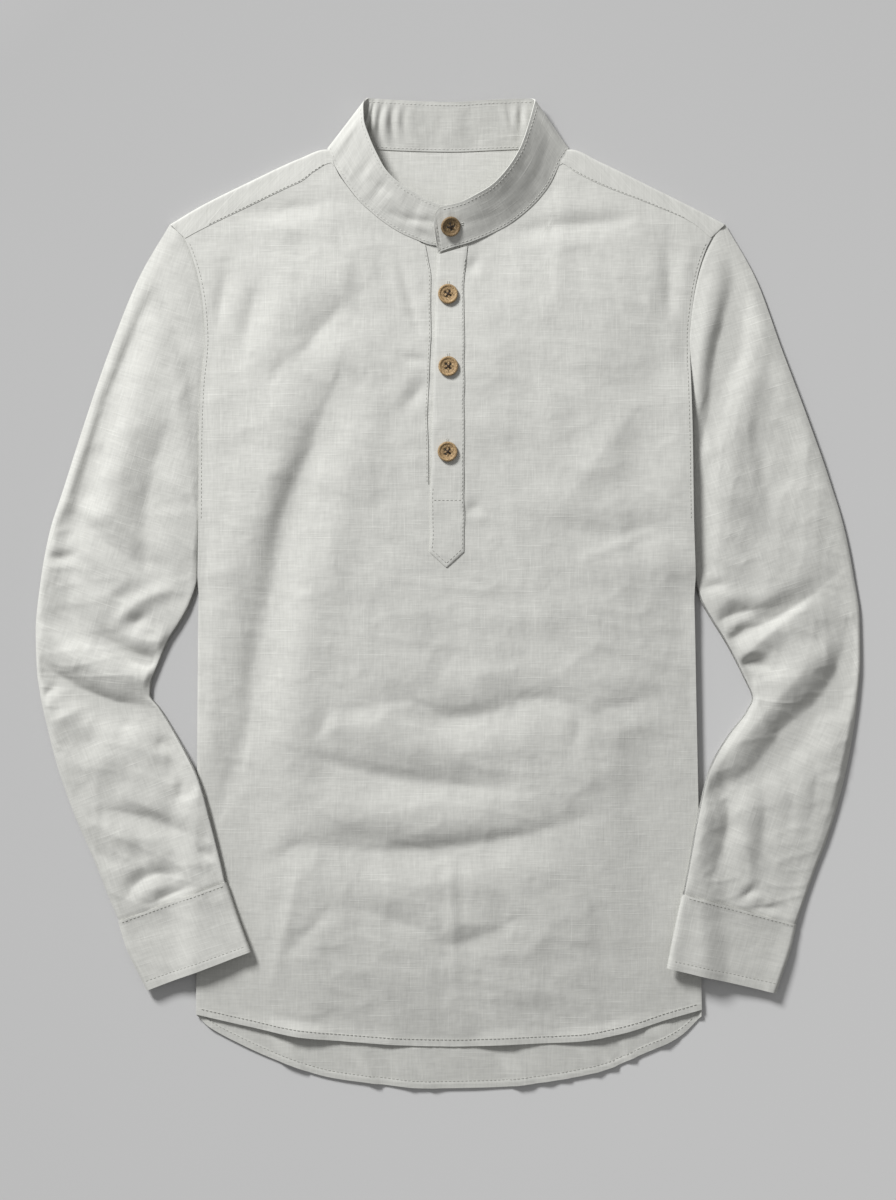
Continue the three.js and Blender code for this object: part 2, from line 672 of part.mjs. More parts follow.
function sleevePlace(side, along, across) {
  const rows = SLEEVES[side];
  const outward = side === "left" ? -1 : 1;
  const place = tubePlace(rows, along, across, SIDE_SEAM);
  const y = mix(SHOULDER_Y, UNDERARM_Y, across);
  const armholeX = alongY(BODY_SIDES, y, side) + outward * SEAM;
  const chordX = tubePlace(rows, 0, across, 0).x;
  const fade = clamp(1 - along / BEND_ROWS, 0, 1) ** 2;
  place.x += (armholeX - chordX) * fade * (1 - across ** 12);
  return place;
}

// A ring of points round a flat tube: across its under layer and back across its upper one.
function ring(i, around) {
  const turn = (2 * Math.PI * i) / around;
  return { across: (1 - Math.cos(turn)) / 2, upper: i > around / 2 };
}

function tubeGeometry({ side, start, end, steps, around, thickness, place, relief, puff }) {
  const half = LOFT + (thickness - CLOTH) / 2;
  return wall({
    columns: around,
    rows: steps,
    around: true,
    thickness,
    point: (i, j) => {
      const along = mix(start, end, j / steps);
      const { across, upper } = ring(side === "left" ? i : (around - i) % around, around);
      const top = side === "left" ? upper : !upper && i !== 0 && i !== around / 2;
      const flat = place(along, across);
      const height = half * tubeHeight(across);
      const lift = ride(side, flat.x, flat.y) + thickness / 2 + half;
      if (!top) return new THREE.Vector3(flat.x, flat.y, lift - height);
      const loose = ease(along / 1.5);
      const fold = relief(flat.x, flat.y) * tubeHeight(across) ** 2 * loose;
      const air = puff * Math.sin(Math.PI * across) * loose * ease((end + 0.2 - along) / 3);
      const open = keptAbove(height + fold + air, thickness + LAYER_GAP - height);
      const share = ease((height / half - 0.8) / 0.2);
      return new THREE.Vector3(flat.x, flat.y, lift + mix(height, open, share));
    },
  });
}

function sleeveGeometry(side) {
  return tubeGeometry({
    side,
    start: 0,
    end: SLEEVES[side].length - 1 - 0.02,
    steps: 32,
    around: 24,
    thickness: CLOTH,
    place: (along, across) => sleevePlace(side, along, across),
    relief: reliefOf(SLEEVE_FOLDS[side]),
    puff: SLEEVE_PUFF,
  });
}

function cuffGeometry(side) {
  return tubeGeometry({
    side,
    start: 0.012,
    end: CUFFS[side].length - 1,
    steps: 3,
    around: 20,
    thickness: CUFF_CLOTH,
    place: (along, across) => tubePlace(CUFFS[side], along, across, CUFF_CLOTH / 2),
    relief: () => 0,
    puff: 0,
  });
}

// The upper placket strip lies on the front and on the under strip, and ends in a point.
function placketOverGeometry() {
  const rows = 26;
  const columns = 3;
  const tip = PLACKET_OVER[0];
  const widest = PLACKET_OVER[1];
  const slanted = PLACKET_OVER[PLACKET_OVER.length - 2];
  const top = PLACKET_OVER[PLACKET_OVER.length - 1];
  const tipRows = 2;
  return wall({
    columns,
    rows,
    point: (i, j) => {
      const inTip = j < tipRows;
      const down = inTip ? j / tipRows : (j - tipRows) / (rows - tipRows);
      const y = inTip ? mix(tip.y, widest.y, down) : mix(widest.y, top.y, down);
      const side = (name) => (inTip ? mix(tip[name], widest[name], down) : alongY(PLACKET_OVER, y, name));
      const x = mix(side("left"), side("right"), i / columns);
      const slant = clamp((y - slanted.y) / (top.y - slanted.y), 0, 1);
      const rise = slant * mix(PLACKET_SLANT.left, PLACKET_SLANT.right, i / columns);
      return new THREE.Vector3(x, y + rise, frontHeight(x, y) + LAP);
    },
  });
}

// The under placket strip fills the front's slit.
function placketUnderGeometry() {
  const rows = 14;
  const columns = 2;
  return wall({
    columns,
    rows,
    point: (i, j) => {
      const x = mix(SLIT_LEFT + SEAM, SLIT_RIGHT - SEAM, i / columns);
      const y = mix(SLIT_END_Y + 1, alongX(FRONT_TOP, x) - 0.4, j / rows);
      return new THREE.Vector3(x, y, frontHeight(x, y));
    },
  });
}

// One button with a raised rim, a dished middle and four holes, its underside at z 0.
function buttonGeometry(wasm) {
  const radius = BUTTON_DIAMETER / 2;
  const rim = 1.7;
  const dish = 0.8;
  const profile = [
    [0, 0],
    [radius - 1.4, 0],
    [radius, 1],
    [radius - 0.3, BUTTON_HEIGHT - 0.3],
    [radius - rim / 2, BUTTON_HEIGHT],
    [radius - rim - 0.5, BUTTON_HEIGHT - dish],
    [0, BUTTON_HEIGHT - dish],
  ].map(([r, z]) => new THREE.Vector2(r, z));
  const disc = new THREE.LatheGeometry(profile, 28);
  disc.rotateX(Math.PI / 2);
  let solid = solidOf(wasm, disc);
  for (let k = 0; k < 4; k += 1) {
    const hole = new THREE.CylinderGeometry(BUTTON_HOLE / 2, BUTTON_HOLE / 2, 3 * BUTTON_HEIGHT, 10);
    hole.rotateX(Math.PI / 2);
    const turn = Math.PI / 4 + (k * Math.PI) / 2;
    const off = BUTTON_HOLE_SPREAD / Math.SQRT2;
    hole.translate(off * Math.cos(turn), off * Math.sin(turn), 0);
    solid = solid.subtract(solidOf(wasm, hole));
  }
  const mesh = solid.getMesh();
  const geometry = new THREE.BufferGeometry();
  geometry.setAttribute("position", new THREE.BufferAttribute(mesh.vertProperties, 3));
  geometry.setIndex(new THREE.BufferAttribute(mesh.triVerts, 1));
  return tidy(geometry);
}

function solidOf(wasm, geometry) {
  const plain = geometry.clone();
  plain.deleteAttribute("normal");
  plain.deleteAttribute("uv");
  const merged = mergeVertices(plain, 1e-4);
  return new wasm.Manifold(
    new wasm.Mesh({
      numProp: 3,
      vertProperties: merged.attributes.position.array,
      triVerts: new Uint32Array(merged.index.array),
    }),
  );
}

// Seats a button on the cloth at a point of its middle surface, square to that surface.
function seatButton(mesh, point, normal, turn) {
  const up = new THREE.Vector3(0, 0, 1);
  mesh.quaternion.setFromUnitVectors(up, normal);
  mesh.rotateZ(turn);
  mesh.position.copy(point).addScaledVector(normal, CLOTH / 2 + REST_GAP);
}

// Normal of a surface given as a function of two numbers, from small steps.
function normalOf(surface, u, v, step) {
  const across = surface(u + step, v).sub(surface(u - step, v));
  const up = surface(u, v + step).sub(surface(u, v - step));
  return across.cross(up).normalize();
}

const wasm = await Module();
wasm.setup();

addPiece("back", backGeometry(), LINEN_IN);
addPiece("yoke", yokeGeometry(), LINEN);
addPiece("front", frontGeometry(), LINEN);
addPiece("placket_under", placketUnderGeometry(), LINEN);
addPiece("placket_over", placketOverGeometry(), LINEN);
addPiece("collar", collarGeometry(), LINEN);
for (const side of ["left", "right"]) {
  addPiece(`sleeve_${side}`, sleeveGeometry(side), LINEN);
  addPiece(`cuff_${side}`, cuffGeometry(side), LINEN);
}
const collarButton = addPiece("button_1", buttonGeometry(wasm), COCONUT_DARK, 0.45);
seatButton(
  collarButton,
  collarPoint(COLLAR_BUTTON.along, COLLAR_BUTTON.up),
  normalOf((u, v) => collarPoint(u, v), COLLAR_BUTTON.along, COLLAR_BUTTON.up, 0.05),
  0.2,
);
BUTTON_PLACES.forEach(({ x, y }, i) => {
  const surface = (u, v) => new THREE.Vector3(u, v, frontHeight(u, v) + LAP);
  const button = addPiece(`button_${i + 2}`, buttonGeometry(wasm), COCONUT, 0.45);
  seatButton(button, surface(x, y), normalOf(surface, x, y, 4), 0.3 + i * 0.5);
});

export default shirt;
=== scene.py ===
"""Mandarin collar shirt in slub linen, laid flat on a pale table with its front up.

Outlines and folds are tables in millimetres, with X across the shirt, Y from hem to collar and Z up
from the table. Every piece is a thin shell worked out from those tables.
"""
import math

import bpy
import numpy as np
from mathutils import Matrix, Vector


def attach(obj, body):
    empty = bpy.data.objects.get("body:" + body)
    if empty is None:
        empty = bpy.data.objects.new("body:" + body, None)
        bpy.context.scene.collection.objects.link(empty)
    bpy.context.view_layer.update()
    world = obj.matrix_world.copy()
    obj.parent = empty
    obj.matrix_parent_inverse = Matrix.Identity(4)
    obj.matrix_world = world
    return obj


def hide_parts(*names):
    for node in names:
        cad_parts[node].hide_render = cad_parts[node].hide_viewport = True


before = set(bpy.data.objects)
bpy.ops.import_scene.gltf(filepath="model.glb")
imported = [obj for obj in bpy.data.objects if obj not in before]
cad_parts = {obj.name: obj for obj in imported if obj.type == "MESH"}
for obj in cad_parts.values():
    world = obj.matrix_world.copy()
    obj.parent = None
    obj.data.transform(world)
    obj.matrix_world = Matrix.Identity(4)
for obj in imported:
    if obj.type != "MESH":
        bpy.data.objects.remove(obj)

bl_info = {
    "name": "Mandarin Collar Shirt",
    "version": (1, 0, 0),
    "blender": (4, 5, 0),
    "location": "3D View > Sidebar > Shirt",
    "description": "Builds a linen mandarin collar shirt laid flat, piece by piece",
    "category": "Object",
}

MM = 0.001

# Where the layers of cloth lie, as heights of their middles over the table
TABLE_LAYER = 0.5
FRONT_LAYER = 4.4
EDGE_LAYER = 3.0  # where the front's side edge lies on the back
EDGE_ROUND = 4.0  # width of the front's round side edge
EDGE_OVER_SLEEVE = 6.2  # rise of that edge over the sleeves
EDGE_OFF_BACK = 2.6  # rise of its right side off the back
EDGE_OFF_TABLE = 1.5
TUBE_CREASE = 36  # how sharply a tube's layers meet at its edges
HEM_LAYER = 3.2
LOWEST_FRONT = 1.9
# How far the air inside lifts the middle of the body, a sleeve and a cuff
BODY_PUFF = 4.5
SLEEVE_PUFF = 3.2
SLEEVE_EDGE_LOFT = 1.2
CUFF_LOFT = 1.7
# Moves a sleeve's highest line: under 1 to its outer edge, over 1 to its inner one
CROWN_SHIFT = {"left": 0.6, "right": 1.3}
LAP = 0.9  # a layer that lies on another
ELBOW_X = 292.0
ELBOW_Y = -85.0
SHOULDER_Y = 306.0
UNDERARM_Y = 62.0
BACK_YOKE_Y = 277.0
SLIT_LEFT = -15.0
SLIT_RIGHT = 10.0
SLIT_END_Y = 88.0
FOLD_LIMIT = 7.0
SLEEVE_FOLD_LIMIT = 8.0
FOLD_STEPS = 12  # straight parts that a fold's curve is measured along
FOLD_MARGIN = 4.5  # how far beside a fold it still counts, in reaches
FOLD_BOTTOM = 0.6  # rounds the bottom of a fold
FOLD_END = 0.06  # how far a fold has faded at its ends
BANK_SHARE = 0.32  # height of the banks beside a trough, as a share of its depth
BANK_PLACE = 2.1  # where they are highest, in reaches
BANK_SPREAD = 1.4
PRESSED_RISE = 0.2  # most rise of the front's cloth under a cuff
HEM_RISE_FRONT = 0.18
BACK_HEM_RISE = 2.6
BESIDE_BODY_TOP = 2.6  # top of the right sleeve where it dips beside the body
FRONT_TOP_Y = 286.0
FRONT_LENGTH = 661.0  # from there to the front's hem
CRUMPLE_FROM = 900.0  # keep the noise's places above zero
PUCKER_FROM = 700.0
COLLAR_ROW = 11.0  # one row of the collar's table, in its folds
COLLAR_HEIGHT = 40.0  # from its seam to its top edge, in its folds
# A sleeve is carried by the body below RIDE_FROM_Y, and up to RIDE_REACH beside it
RIDE_HEIGHT = 6.0
RIDE_REACH = 24.0
RIDE_FROM_Y = -75.0
NECK_LEFT = -97.5
NECK_RIGHT = 97.0
SHOULDER_LEFT = -231.0
SHOULDER_RIGHT = 230.0


def table(columns, rows):
    """The columns of a table by name, each an array with a value for every row."""
    data = np.array(rows, float)
    return {name: data[:, i] for i, name in enumerate(columns.split())}


BODY_SIDES = table("y left right", [
    (-380, -209.5, 211), (-345, -209.2, 210.5), (-200, -208.5, 208), (-100, -208, 206),
    (0, -207, 204), (62, -206, 202), (128, -205.5, 201), (169, -204, 200), (211, -200.5, 199),
    (236, -202, 201), (261, -206, 205), (284, -213, 212), (295.5, -218.5, 218),
    (303, -224.5, 224), (306, -231, 230),
])
FRONT_TOP = table("x y", [
    (-218, 295.5), (-206, 302), (-165, 322), (-135, 336.5), (-121, 343), (-110, 351.5),
    (-97, 358), (-90, 345.5), (-82, 334.5), (-73, 323.5), (-57, 309.5), (-40, 298.5),
    (-23, 291), (-8, 286), (1, 285.7), (16, 289.5), (35, 297), (51, 306), (68, 319),
    (76, 327.5), (84.5, 338.5), (94, 357.5), (104, 351), (126, 340), (167, 324),
    (201, 309), (218, 295.5),
])
FRONT_HEM = table("x y", [
    (-209.5, -348.5), (-165, -358.5), (-123, -367), (-81, -371), (-40, -374), (1, -375),
    (60, -373), (105, -371), (143, -364.5), (184, -352), (210.5, -344.5),
])
BACK_HEM = table("x y", [
    (-209, -349), (-200, -358), (-173, -373), (-144, -386), (-98, -401), (-61, -406),
    (-19, -410), (40, -409), (85, -404), (126, -396), (159, -382.5), (192, -367), (210, -350),
])
SHOULDER = table("x y", [
    (-231, 306), (-206, 321), (-165, 341.5), (-123, 361), (-101.5, 368.5), (-63, 368.7),
    (-40, 366.8), (1, 365.8), (43, 367.3), (101, 368.5), (126, 358), (167, 338),
    (209, 317), (230, 306),
])
SLEEVES = {
    "left": table("outer_x outer_y inner_x inner_y", [
        (-231, 306, -206, 62), (-256, 263, -206.5, 50), (-281, 201, -207, 32),
        (-303, 137, -207.7, 12), (-318, 90, -214, -9), (-331, 49, -222, -24),
        (-338, 10, -231, -38), (-342, -30, -240, -59), (-341, -62, -246, -75),
        (-338, -85, -246.5, -84), (-332, -112, -239, -94), (-324, -143, -223, -120),
        (-310, -183, -206, -153), (-293, -222, -196, -188), (-282, -250, -188, -220),
        (-273, -271, -184, -238),
    ]),
    "right": table("outer_x outer_y inner_x inner_y", [
        (230, 306, 202, 62), (255, 261, 202.5, 50), (277, 201, 203, 32), (299, 142, 204, 14),
        (315, 97, 209, -5), (328, 55, 217, -20), (336, 15, 227, -36), (341, -20, 236, -52),
        (341.5, -55, 244, -68), (339.5, -85, 251.5, -86), (336, -113, 247, -97),
        (329, -150, 232, -117), (317, -194, 215, -147), (304, -229, 206, -183),
        (295, -254, 199, -222), (288, -274, 194, -248),
    ]),
}
CUFFS = {
    "left": table("outer_x outer_y inner_x inner_y", [
        (-273, -271, -184, -238), (-267, -291, -174.5, -266), (-249, -328, -163.5, -295.5),
    ]),
    "right": table("outer_x outer_y inner_x inner_y", [
        (288, -274, 194, -248), (284, -291, 188.5, -272), (270.5, -330.5, 181, -309),
    ]),
}
# From the end that lies on top, round the neck to the end under it
COLLAR = table("base_x base_y base_z top_x top_y top_z", [
    (-8.5, 282.6, 6.1, -12.6, 305, 11.4), (-7, 283.4, 6.1, -10.5, 314.5, 14),
    (-4, 284.4, 6.1, -6, 319, 15.2), (1.5, 286.3, 6.1, 1.5, 320.8, 15.6),
    (17.3, 291, 6.0, 10.5, 323, 16.6), (35, 298.3, 5.2, 23, 329, 18.8),
    (51.3, 307, 4.5, 35, 336, 20.2), (68, 320.2, 4.4, 43.5, 344, 21.2),
    (76, 328.6, 4.4, 51.5, 354, 21.6), (84.3, 340, 4.4, 59.6, 368, 21.0),
    (92.6, 357, 4.4, 66.5, 388, 19.0), (98.6, 366, 4, 70.4, 402.5, 14),
    (99.4, 369.2, 2.6, 71.6, 407.4, 11), (96, 369.7, 1.2, 69, 409.4, 8.6),
    (76, 369.6, 1.0, 64.5, 409.6, 8), (43, 368.3, 1.0, 43, 409.3, 7.6),
    (1.5, 366.8, 1.0, 1.5, 407, 7.4), (-40, 367.8, 1.0, -40, 408.5, 7.6),
    (-73, 369.6, 1.0, -62, 409.8, 8), (-96, 369.7, 1.2, -66, 410, 8.6),
    (-99.8, 369.2, 2.6, -68.6, 408, 11), (-99, 366, 4, -70, 402, 12.6),
    (-95.2, 357, 4.4, -69.6, 392, 14.2), (-87.2, 343.5, 4.4, -65, 377, 14.8),
    (-81.2, 335, 4.4, -58.5, 362.5, 14.8), (-73, 325, 4.4, -51.8, 350.6, 14.4),
    (-64.6, 317.2, 4.4, -44.2, 342.4, 14), (-56.4, 310.4, 4.4, -36.8, 336.2, 13.8),
    (-40, 299.7, 4.4, -27.6, 330.8, 13.7), (-27.4, 294, 4.4, -15, 324.2, 13.6),
    (-15, 289.4, 4.4, -3.5, 320.6, 13.6), (2, 287, 4.4, 9.5, 320.4, 13.5),
])
# Soft folds: two ends, a middle point, depth (less than 0 for a trough), reach, and lean, which
# makes the bank on one side of the fold steeper
FOLD_COLUMNS = "from_x from_y mid_x mid_y to_x to_y depth reach lean"
# Places here are COLLAR_ROW times the row of the table above, and up to COLLAR_HEIGHT
COLLAR_FOLDS = table(FOLD_COLUMNS, [
    (298, 9, 314, 17, 332, 25, -1.0, 3.2, 0), (316, 9, 324, 7, 333, 6, -0.8, 2.6, 0),
    (268, 20, 282, 26, 300, 30, -0.6, 4, 0), (80, 12, 100, 15, 120, 22, -0.4, 4.5, 0),
    (58, 24, 80, 27, 104, 33, -0.3, 4, 0), (30, 28, 44, 20, 62, 14, -0.4, 4, 0),
    (157.4, 37, 158.8, 22, 159.6, 6, -2.6, 1.0, 0.2), (163, 37, 161.6, 24, 161, 12, -2.2, 0.9, 0.2),
    (172, 34, 172.8, 20, 172, 6, -0.6, 1.2, 0), (178.6, 36, 178, 22, 179, 8, -0.7, 1.1, 0),
    (185.2, 37, 186.2, 24, 185, 10, -1.8, 0.8, 0), (188.8, 38, 189.4, 22, 188, 6, -2.6, 0.9, 0),
    (192.4, 38, 193.4, 22, 192, 4, -3.6, 1.0, 0), (197, 38, 196.4, 24, 198.4, 8, -3.4, 1.1, 0),
])
PLACKET_OVER = table("y left right", [
    (35, -15.2, 13), (77, -14.4, 12.9), (161, -12.6, 13.1), (244, -10, 12.6),
    (262, -9.8, 13.2), (281.8, -9.4, 15.6),
])
PLACKET_POINT = (-1.5, 22.5)
SLIT_BEND = table("y out", [
    (60, 0), (88, -1.4), (120, -1.6), (145, -2.4), (177, -1.0), (200, -0.2), (215, 0.6),
    (240, 0.2), (263, 0.5), (276, -1.6), (290, -4.2),
])
BUTTON_PLACES = table("x y turn", [(-0.2, 248, 0.3), (0.1, 188, 0.8), (-0.6, 117.5, 1.3)])
COLLAR_BUTTON_ROW = 3.0
COLLAR_BUTTON_UP = 0.5

BODY_FOLDS = table(FOLD_COLUMNS, [
    (-28, -88, 8, -102, 60, -89, -4.6, 13, -0.45), (45, -89, 78, -87, 114, -95, -3.0, 12, -0.4),
    (112, -100, 140, -93, 175, -84, -1.8, 10, -0.2), (-98, -95, -62, -92, -28, -88, -1.4, 8, -0.3),
    (-106, -122, -104, -110, -100, -97, -1.3, 5, 0.2),
    (-119, -131, -40, -153, 54, -160, -4.6, 15, -0.42),
    (105, -92, 108, -109, 103, -126, -1.3, 5, 0),
    (-144, -221, -132, -212, -118, -206, -1.6, 7, -0.2),
    (-124, -206, -4, -210, 116, -184, -5.4, 14, -0.45),
    (-118, -204, -80, -200, -40, -206, -1.0, 9, -0.3),
    (-123, -229, -136, -279, -148, -330, 1.8, 5, 0),
    (-65, -262, -40, -272, -12, -281, -1.8, 10, -0.4),
    (-6, -289, 20, -286, 60, -266, -1.8, 10, -0.4), (-1, -216, 3, -254, 6, -340, 1.0, 4, 0),
    (-98, -258, -115, -279, -127, -292, -1.6, 7, -0.2),
    (148, -296, 165, -300, 182, -290, -1.4, 7, 0),
    (-98, 166, -145, 8, -174, -172, -9.0, 17, 0.42), (-110, 124, -134, 72, -146, 20, -3.0, 9, 0.3),
    (-183, -140, -186, -180, -186, -215, -1.8, 11, 0),
    (-160, -115, -168, -142, -178, -170, 1.0, 5, 0),
    (-181, 316, -140, 319, -98, 324, -2.4, 8, -0.2),
    (-82, 244, -106, 218, -129, 188, -3.6, 14, 0.3),
    (-130, 200, -140, 186, -149, 170, -1.4, 9, 0.2),
    (-185, 270, -188, 245, -192, 218, -2.2, 7, 0.2),
    (-160, 254, -165, 228, -171, 204, -2.2, 9, 0.2), (-76, 290, -84, 268, -88, 244, 1.4, 12, 0),
    (-44, 286, -32, 244, -23, 206, -1.2, 4, 0), (-18, 193, -27, 194, -37, 196, -1.2, 3.5, 0),
    (-18, 174, -27, 165, -37, 152, -2.0, 6, 0), (34, 300, 92, 305, 160, 312, -2.4, 7, -0.3),
    (180, 292, 183, 258, 181, 228, -3.0, 8, 0.25), (160, 162, 128, 118, 88, 64, 2.2, 14, 0),
    (92, 60, 142, 50, 196, 70, -1.6, 12, -0.2), (116, 31, 142, 41, 170, 54, 0.7, 3.5, 0),
    (13, 66, 20, 71, 28, 75, -1.4, 4.5, 0), (13, 268, 19, 272, 27, 276, -1.2, 4.5, 0),
    (24, 286, 22, 275, 20, 262, -1.0, 4, 0), (-104, 364, -103, 358, -101, 350, -0.8, 4, 0),
    (106, 365, 105, 357, 103, 348, -0.8, 4, 0), (-60, 30, -40, -20, -50, -60, 0.9, 26, 0),
    (60, -20, 40, -50, 60, -70, 1.0, 20, 0), (120, -230, 130, -260, 128, -310, -1.0, 16, 0),
])
SLEEVE_FOLDS = {
    "left": table(FOLD_COLUMNS, [
        (-243, 258, -268, 198, -284, 155, -3.8, 10, 0.3),
        (-280, 172, -296, 120, -320, 30, -5.6, 13, 0.35),
        (-240, 241, -226, 222, -209, 200, -3.6, 9, -0.2),
        (-221, 193, -210, 173, -204, 148, -2.4, 7, 0),
        (-228, 148, -250, 76, -248, 0, -3.6, 13, 0.3), (-333, 33, -321, 30, -309, 34, -2.2, 3.5, 0),
        (-312, 12, -314, -20, -298, -44, -5.0, 13, -0.2), (-277, -25, -255, -6, -224, 4, 2.4, 5, 0),
        (-264, -26, -256, -22, -247, -17, -1.8, 4, 0), (-300, 70, -290, 64, -276, 68, 1.4, 6, 0),
        (-283, -36, -258, -55, -236, -54, -6.0, 6, 0.2),
        (-266, -34, -252, -38, -234, -40, 1.8, 5, 0),
        (-334, -58, -290, -88, -248, -94, -7.0, 11, -0.45),
        (-318, -84, -285, -104, -250, -108, -2.6, 14, 0),
        (-250, -92, -229, -128, -214, -172, -4.6, 11, 0.3),
        (-306, 62, -262, 30, -228, 26, -1.8, 8, -0.2),
        (-332, -32, -298, -60, -256, -73, 3.4, 11, 0), (-284, 168, -306, 112, -330, 44, 2.4, 8, 0),
        (-276, -168, -246, -176, -206, -190, 1.2, 8, 0),
        (-338, -90, -330, -80, -318, -70, -1.8, 4, 0),
        (-328, -106, -315, -100, -300, -92, 1.4, 4.5, 0),
        (-242, -122, -236, -124, -230, -121, -2.8, 4.5, 0),
        (-224, -169, -217, -161, -210, -149, -3.6, 5, 0),
        (-280, -178, -246, -186, -208, -202, -3.4, 9, -0.4),
        (-303, -203, -288, -216, -271, -226, -2.2, 9, 0),
        (-262, -206, -254, -222, -250, -238, -2.4, 7, 0.2),
        (-207, -212, -200, -215, -193, -217, -2.4, 4, 0),
        (-265, -250, -249, -234, -229, -234, -3.0, 5, 0.2),
        (-248, -257, -230, -249, -213, -241, -2.2, 4, 0),
        (-300, -150, -282, -136, -262, -134, 1.8, 12, 0),
        (-322, -130, -300, -122, -282, -128, -1.4, 8, 0),
    ]),
    "right": table(FOLD_COLUMNS, [
        (226, 293, 235, 270, 236, 250, -4.0, 9, 0.3), (238, 262, 232, 224, 217, 176, -9.0, 14, 0.4),
        (230, 206, 219, 165, 209, 120, -9.0, 13, 0.4), (206, 140, 208, 76, 208, 12, -4.0, 11, 0.2),
        (256, 150, 262, 110, 268, 44, -3.0, 14, 0.25), (238, -30, 268, -22, 308, 4, -6.0, 8, 0.35),
        (240, -58, 264, -34, 300, -6, 3.0, 6, 0), (222, -24, 240, -16, 264, -12, -4.0, 6, 0.2),
        (231, -38, 240, -34, 251, -27, -2.4, 4, 0), (243, -62, 254, -56, 269, -65, -4.0, 4, 0),
        (252, -80, 268, -72, 292, -80, 2.0, 8, 0), (328, -40, 316, -80, 288, -104, -7.0, 14, 0.35),
        (302, -96, 277, -124, 247, -154, -8.0, 16, 0.35),
        (262, -147, 238, -157, 214, -160, -5.0, 10, 0.3),
        (306, -50, 268, -92, 230, -136, 4.4, 11, 0),
        (229, -118, 238, -109, 251, -98, -3.0, 5, 0),
        (230, -170, 231, -196, 219, -232, -4.0, 8, 0.25),
        (260, -152, 262, -186, 258, -226, -3.2, 10, 0.25),
        (282, -146, 284, -172, 280, -200, -2.6, 9, 0),
        (300, -130, 304, -160, 296, -196, -1.6, 7, 0), (244, -200, 250, -226, 248, -250, 1.6, 7, 0),
        (243, -252, 249, -247, 256, -242, -2.6, 3.5, 0),
        (253, -259, 264, -260, 276, -260, -1.6, 3.5, 0),
        (210, 3, 219, 7, 231, 6, -2.2, 4, 0), (290, -40, 305, -52, 320, -50, 1.6, 10, 0),
        (218, 264, 212, 224, 203, 150, 5.5, 9, 0), (246, 120, 268, 96, 300, 96, -1.4, 9, 0),
    ]),
}

HEM_WIDTH = 5.6
STITCH_LENGTH = 2.7
STITCH_GAP = 0.7
THREAD = 0.38
STITCH_SIDES = 6
# Along one stitch, in shares of its length: places, fatness, and rise off its line in millimetres
STITCH_PLACES = np.array([0, 0.18, 0.5, 0.82, 1.0])
STITCH_FATNESS = np.array([0.25, 0.9, 1.0, 0.9, 0.25])
STITCH_RISE = np.array([-0.25, 0.05, 0.16, 0.05, -0.25])
HEM_TURN = 0.3
PLACKET_INSET = 1.9

# A button in shares of its radius: (out, up) round its edge from the underside to the dish
BUTTON_PROFILE = (
    (0.83, 0.0), (0.95, 0.02), (1.0, 0.1), (0.995, 0.2), (0.96, 0.28), (0.9, 0.315), (0.83, 0.31),
    (0.77, 0.27), (0.72, 0.225), (0.66, 0.205), (0.6, 0.2),
)
RIM_SIDES = 64
HOLE_SIDES = 24
HOLE_RADIUS = 0.125
HOLE_SPREAD = 0.215

# The stage, in metres
BOARD_HALF = 4.0
KEY_PLACE = (-1.78, 2.44, 1.84)
PICTURE_HEIGHT = 1200 * 0.00083  # pixels of the picture, at 0.83 mm a pixel


def smooth(keys, values, at):
    """Values between a table's rows, on a smooth curve that never overshoots them."""
    at = np.clip(np.asarray(at, float), keys[0], keys[-1])
    steps = np.diff(keys)
    rises = np.diff(values) / steps
    slopes = np.empty(len(keys))
    slopes[0], slopes[-1] = rises[0], rises[-1]
    before, after = rises[:-1], rises[1:]
    same_way = before * after > 0
    total = np.where(same_way, before + after, 1.0)
    slopes[1:-1] = np.where(same_way, 2 * before * after / total, 0.0)
    i = np.clip(np.searchsorted(keys, at, side="right") - 1, 0, len(keys) - 2)
    t = (at - keys[i]) / steps[i]
    return (
        values[i] * (1 + 2 * t) * (1 - t) ** 2
        + slopes[i] * steps[i] * t * (1 - t) ** 2
        + values[i + 1] * t * t * (3 - 2 * t)
        - slopes[i + 1] * steps[i] * t * t * (1 - t)
    )


def along_x(rows, x):
    return smooth(rows["x"], rows["y"], x)


def side_x(y, side):
    return smooth(BODY_SIDES["y"], BODY_SIDES[side], y)


def by_row(rows, name, at):
    return smooth(np.arange(len(rows[name]), dtype=float), rows[name], at)


def mix(a, b, t):
    return a + (b - a) * t


def ease(t):
    t = np.clip(t, 0.0, 1.0)
    return t * t * (3 - 2 * t)


def soft_noise(x, y, pitch_x, pitch_y, seed):
    """Smooth random rises from -1 to 1, with hills about pitch_x by pitch_y apart."""
    lattice = np.random.default_rng(seed).uniform(-1, 1, (97, 97))
    gx, gy = x / pitch_x, y / pitch_y
    ix, iy = np.floor(gx).astype(int), np.floor(gy).astype(int)
    fx, fy = ease(gx - ix), ease(gy - iy)

    def corner(dx, dy):
        return lattice[(ix + dx) % 97, (iy + dy) % 97]

    return mix(mix(corner(0, 0), corner(1, 0), fx), mix(corner(0, 1), corner(1, 1), fx), fy)


def curve(start, middle, end, t):
    """Places on a curve from start to end that passes through middle."""
    pull = 2 * middle - (start + end) / 2
    return (1 - t) ** 2 * start + 2 * t * (1 - t) * pull + t * t * end


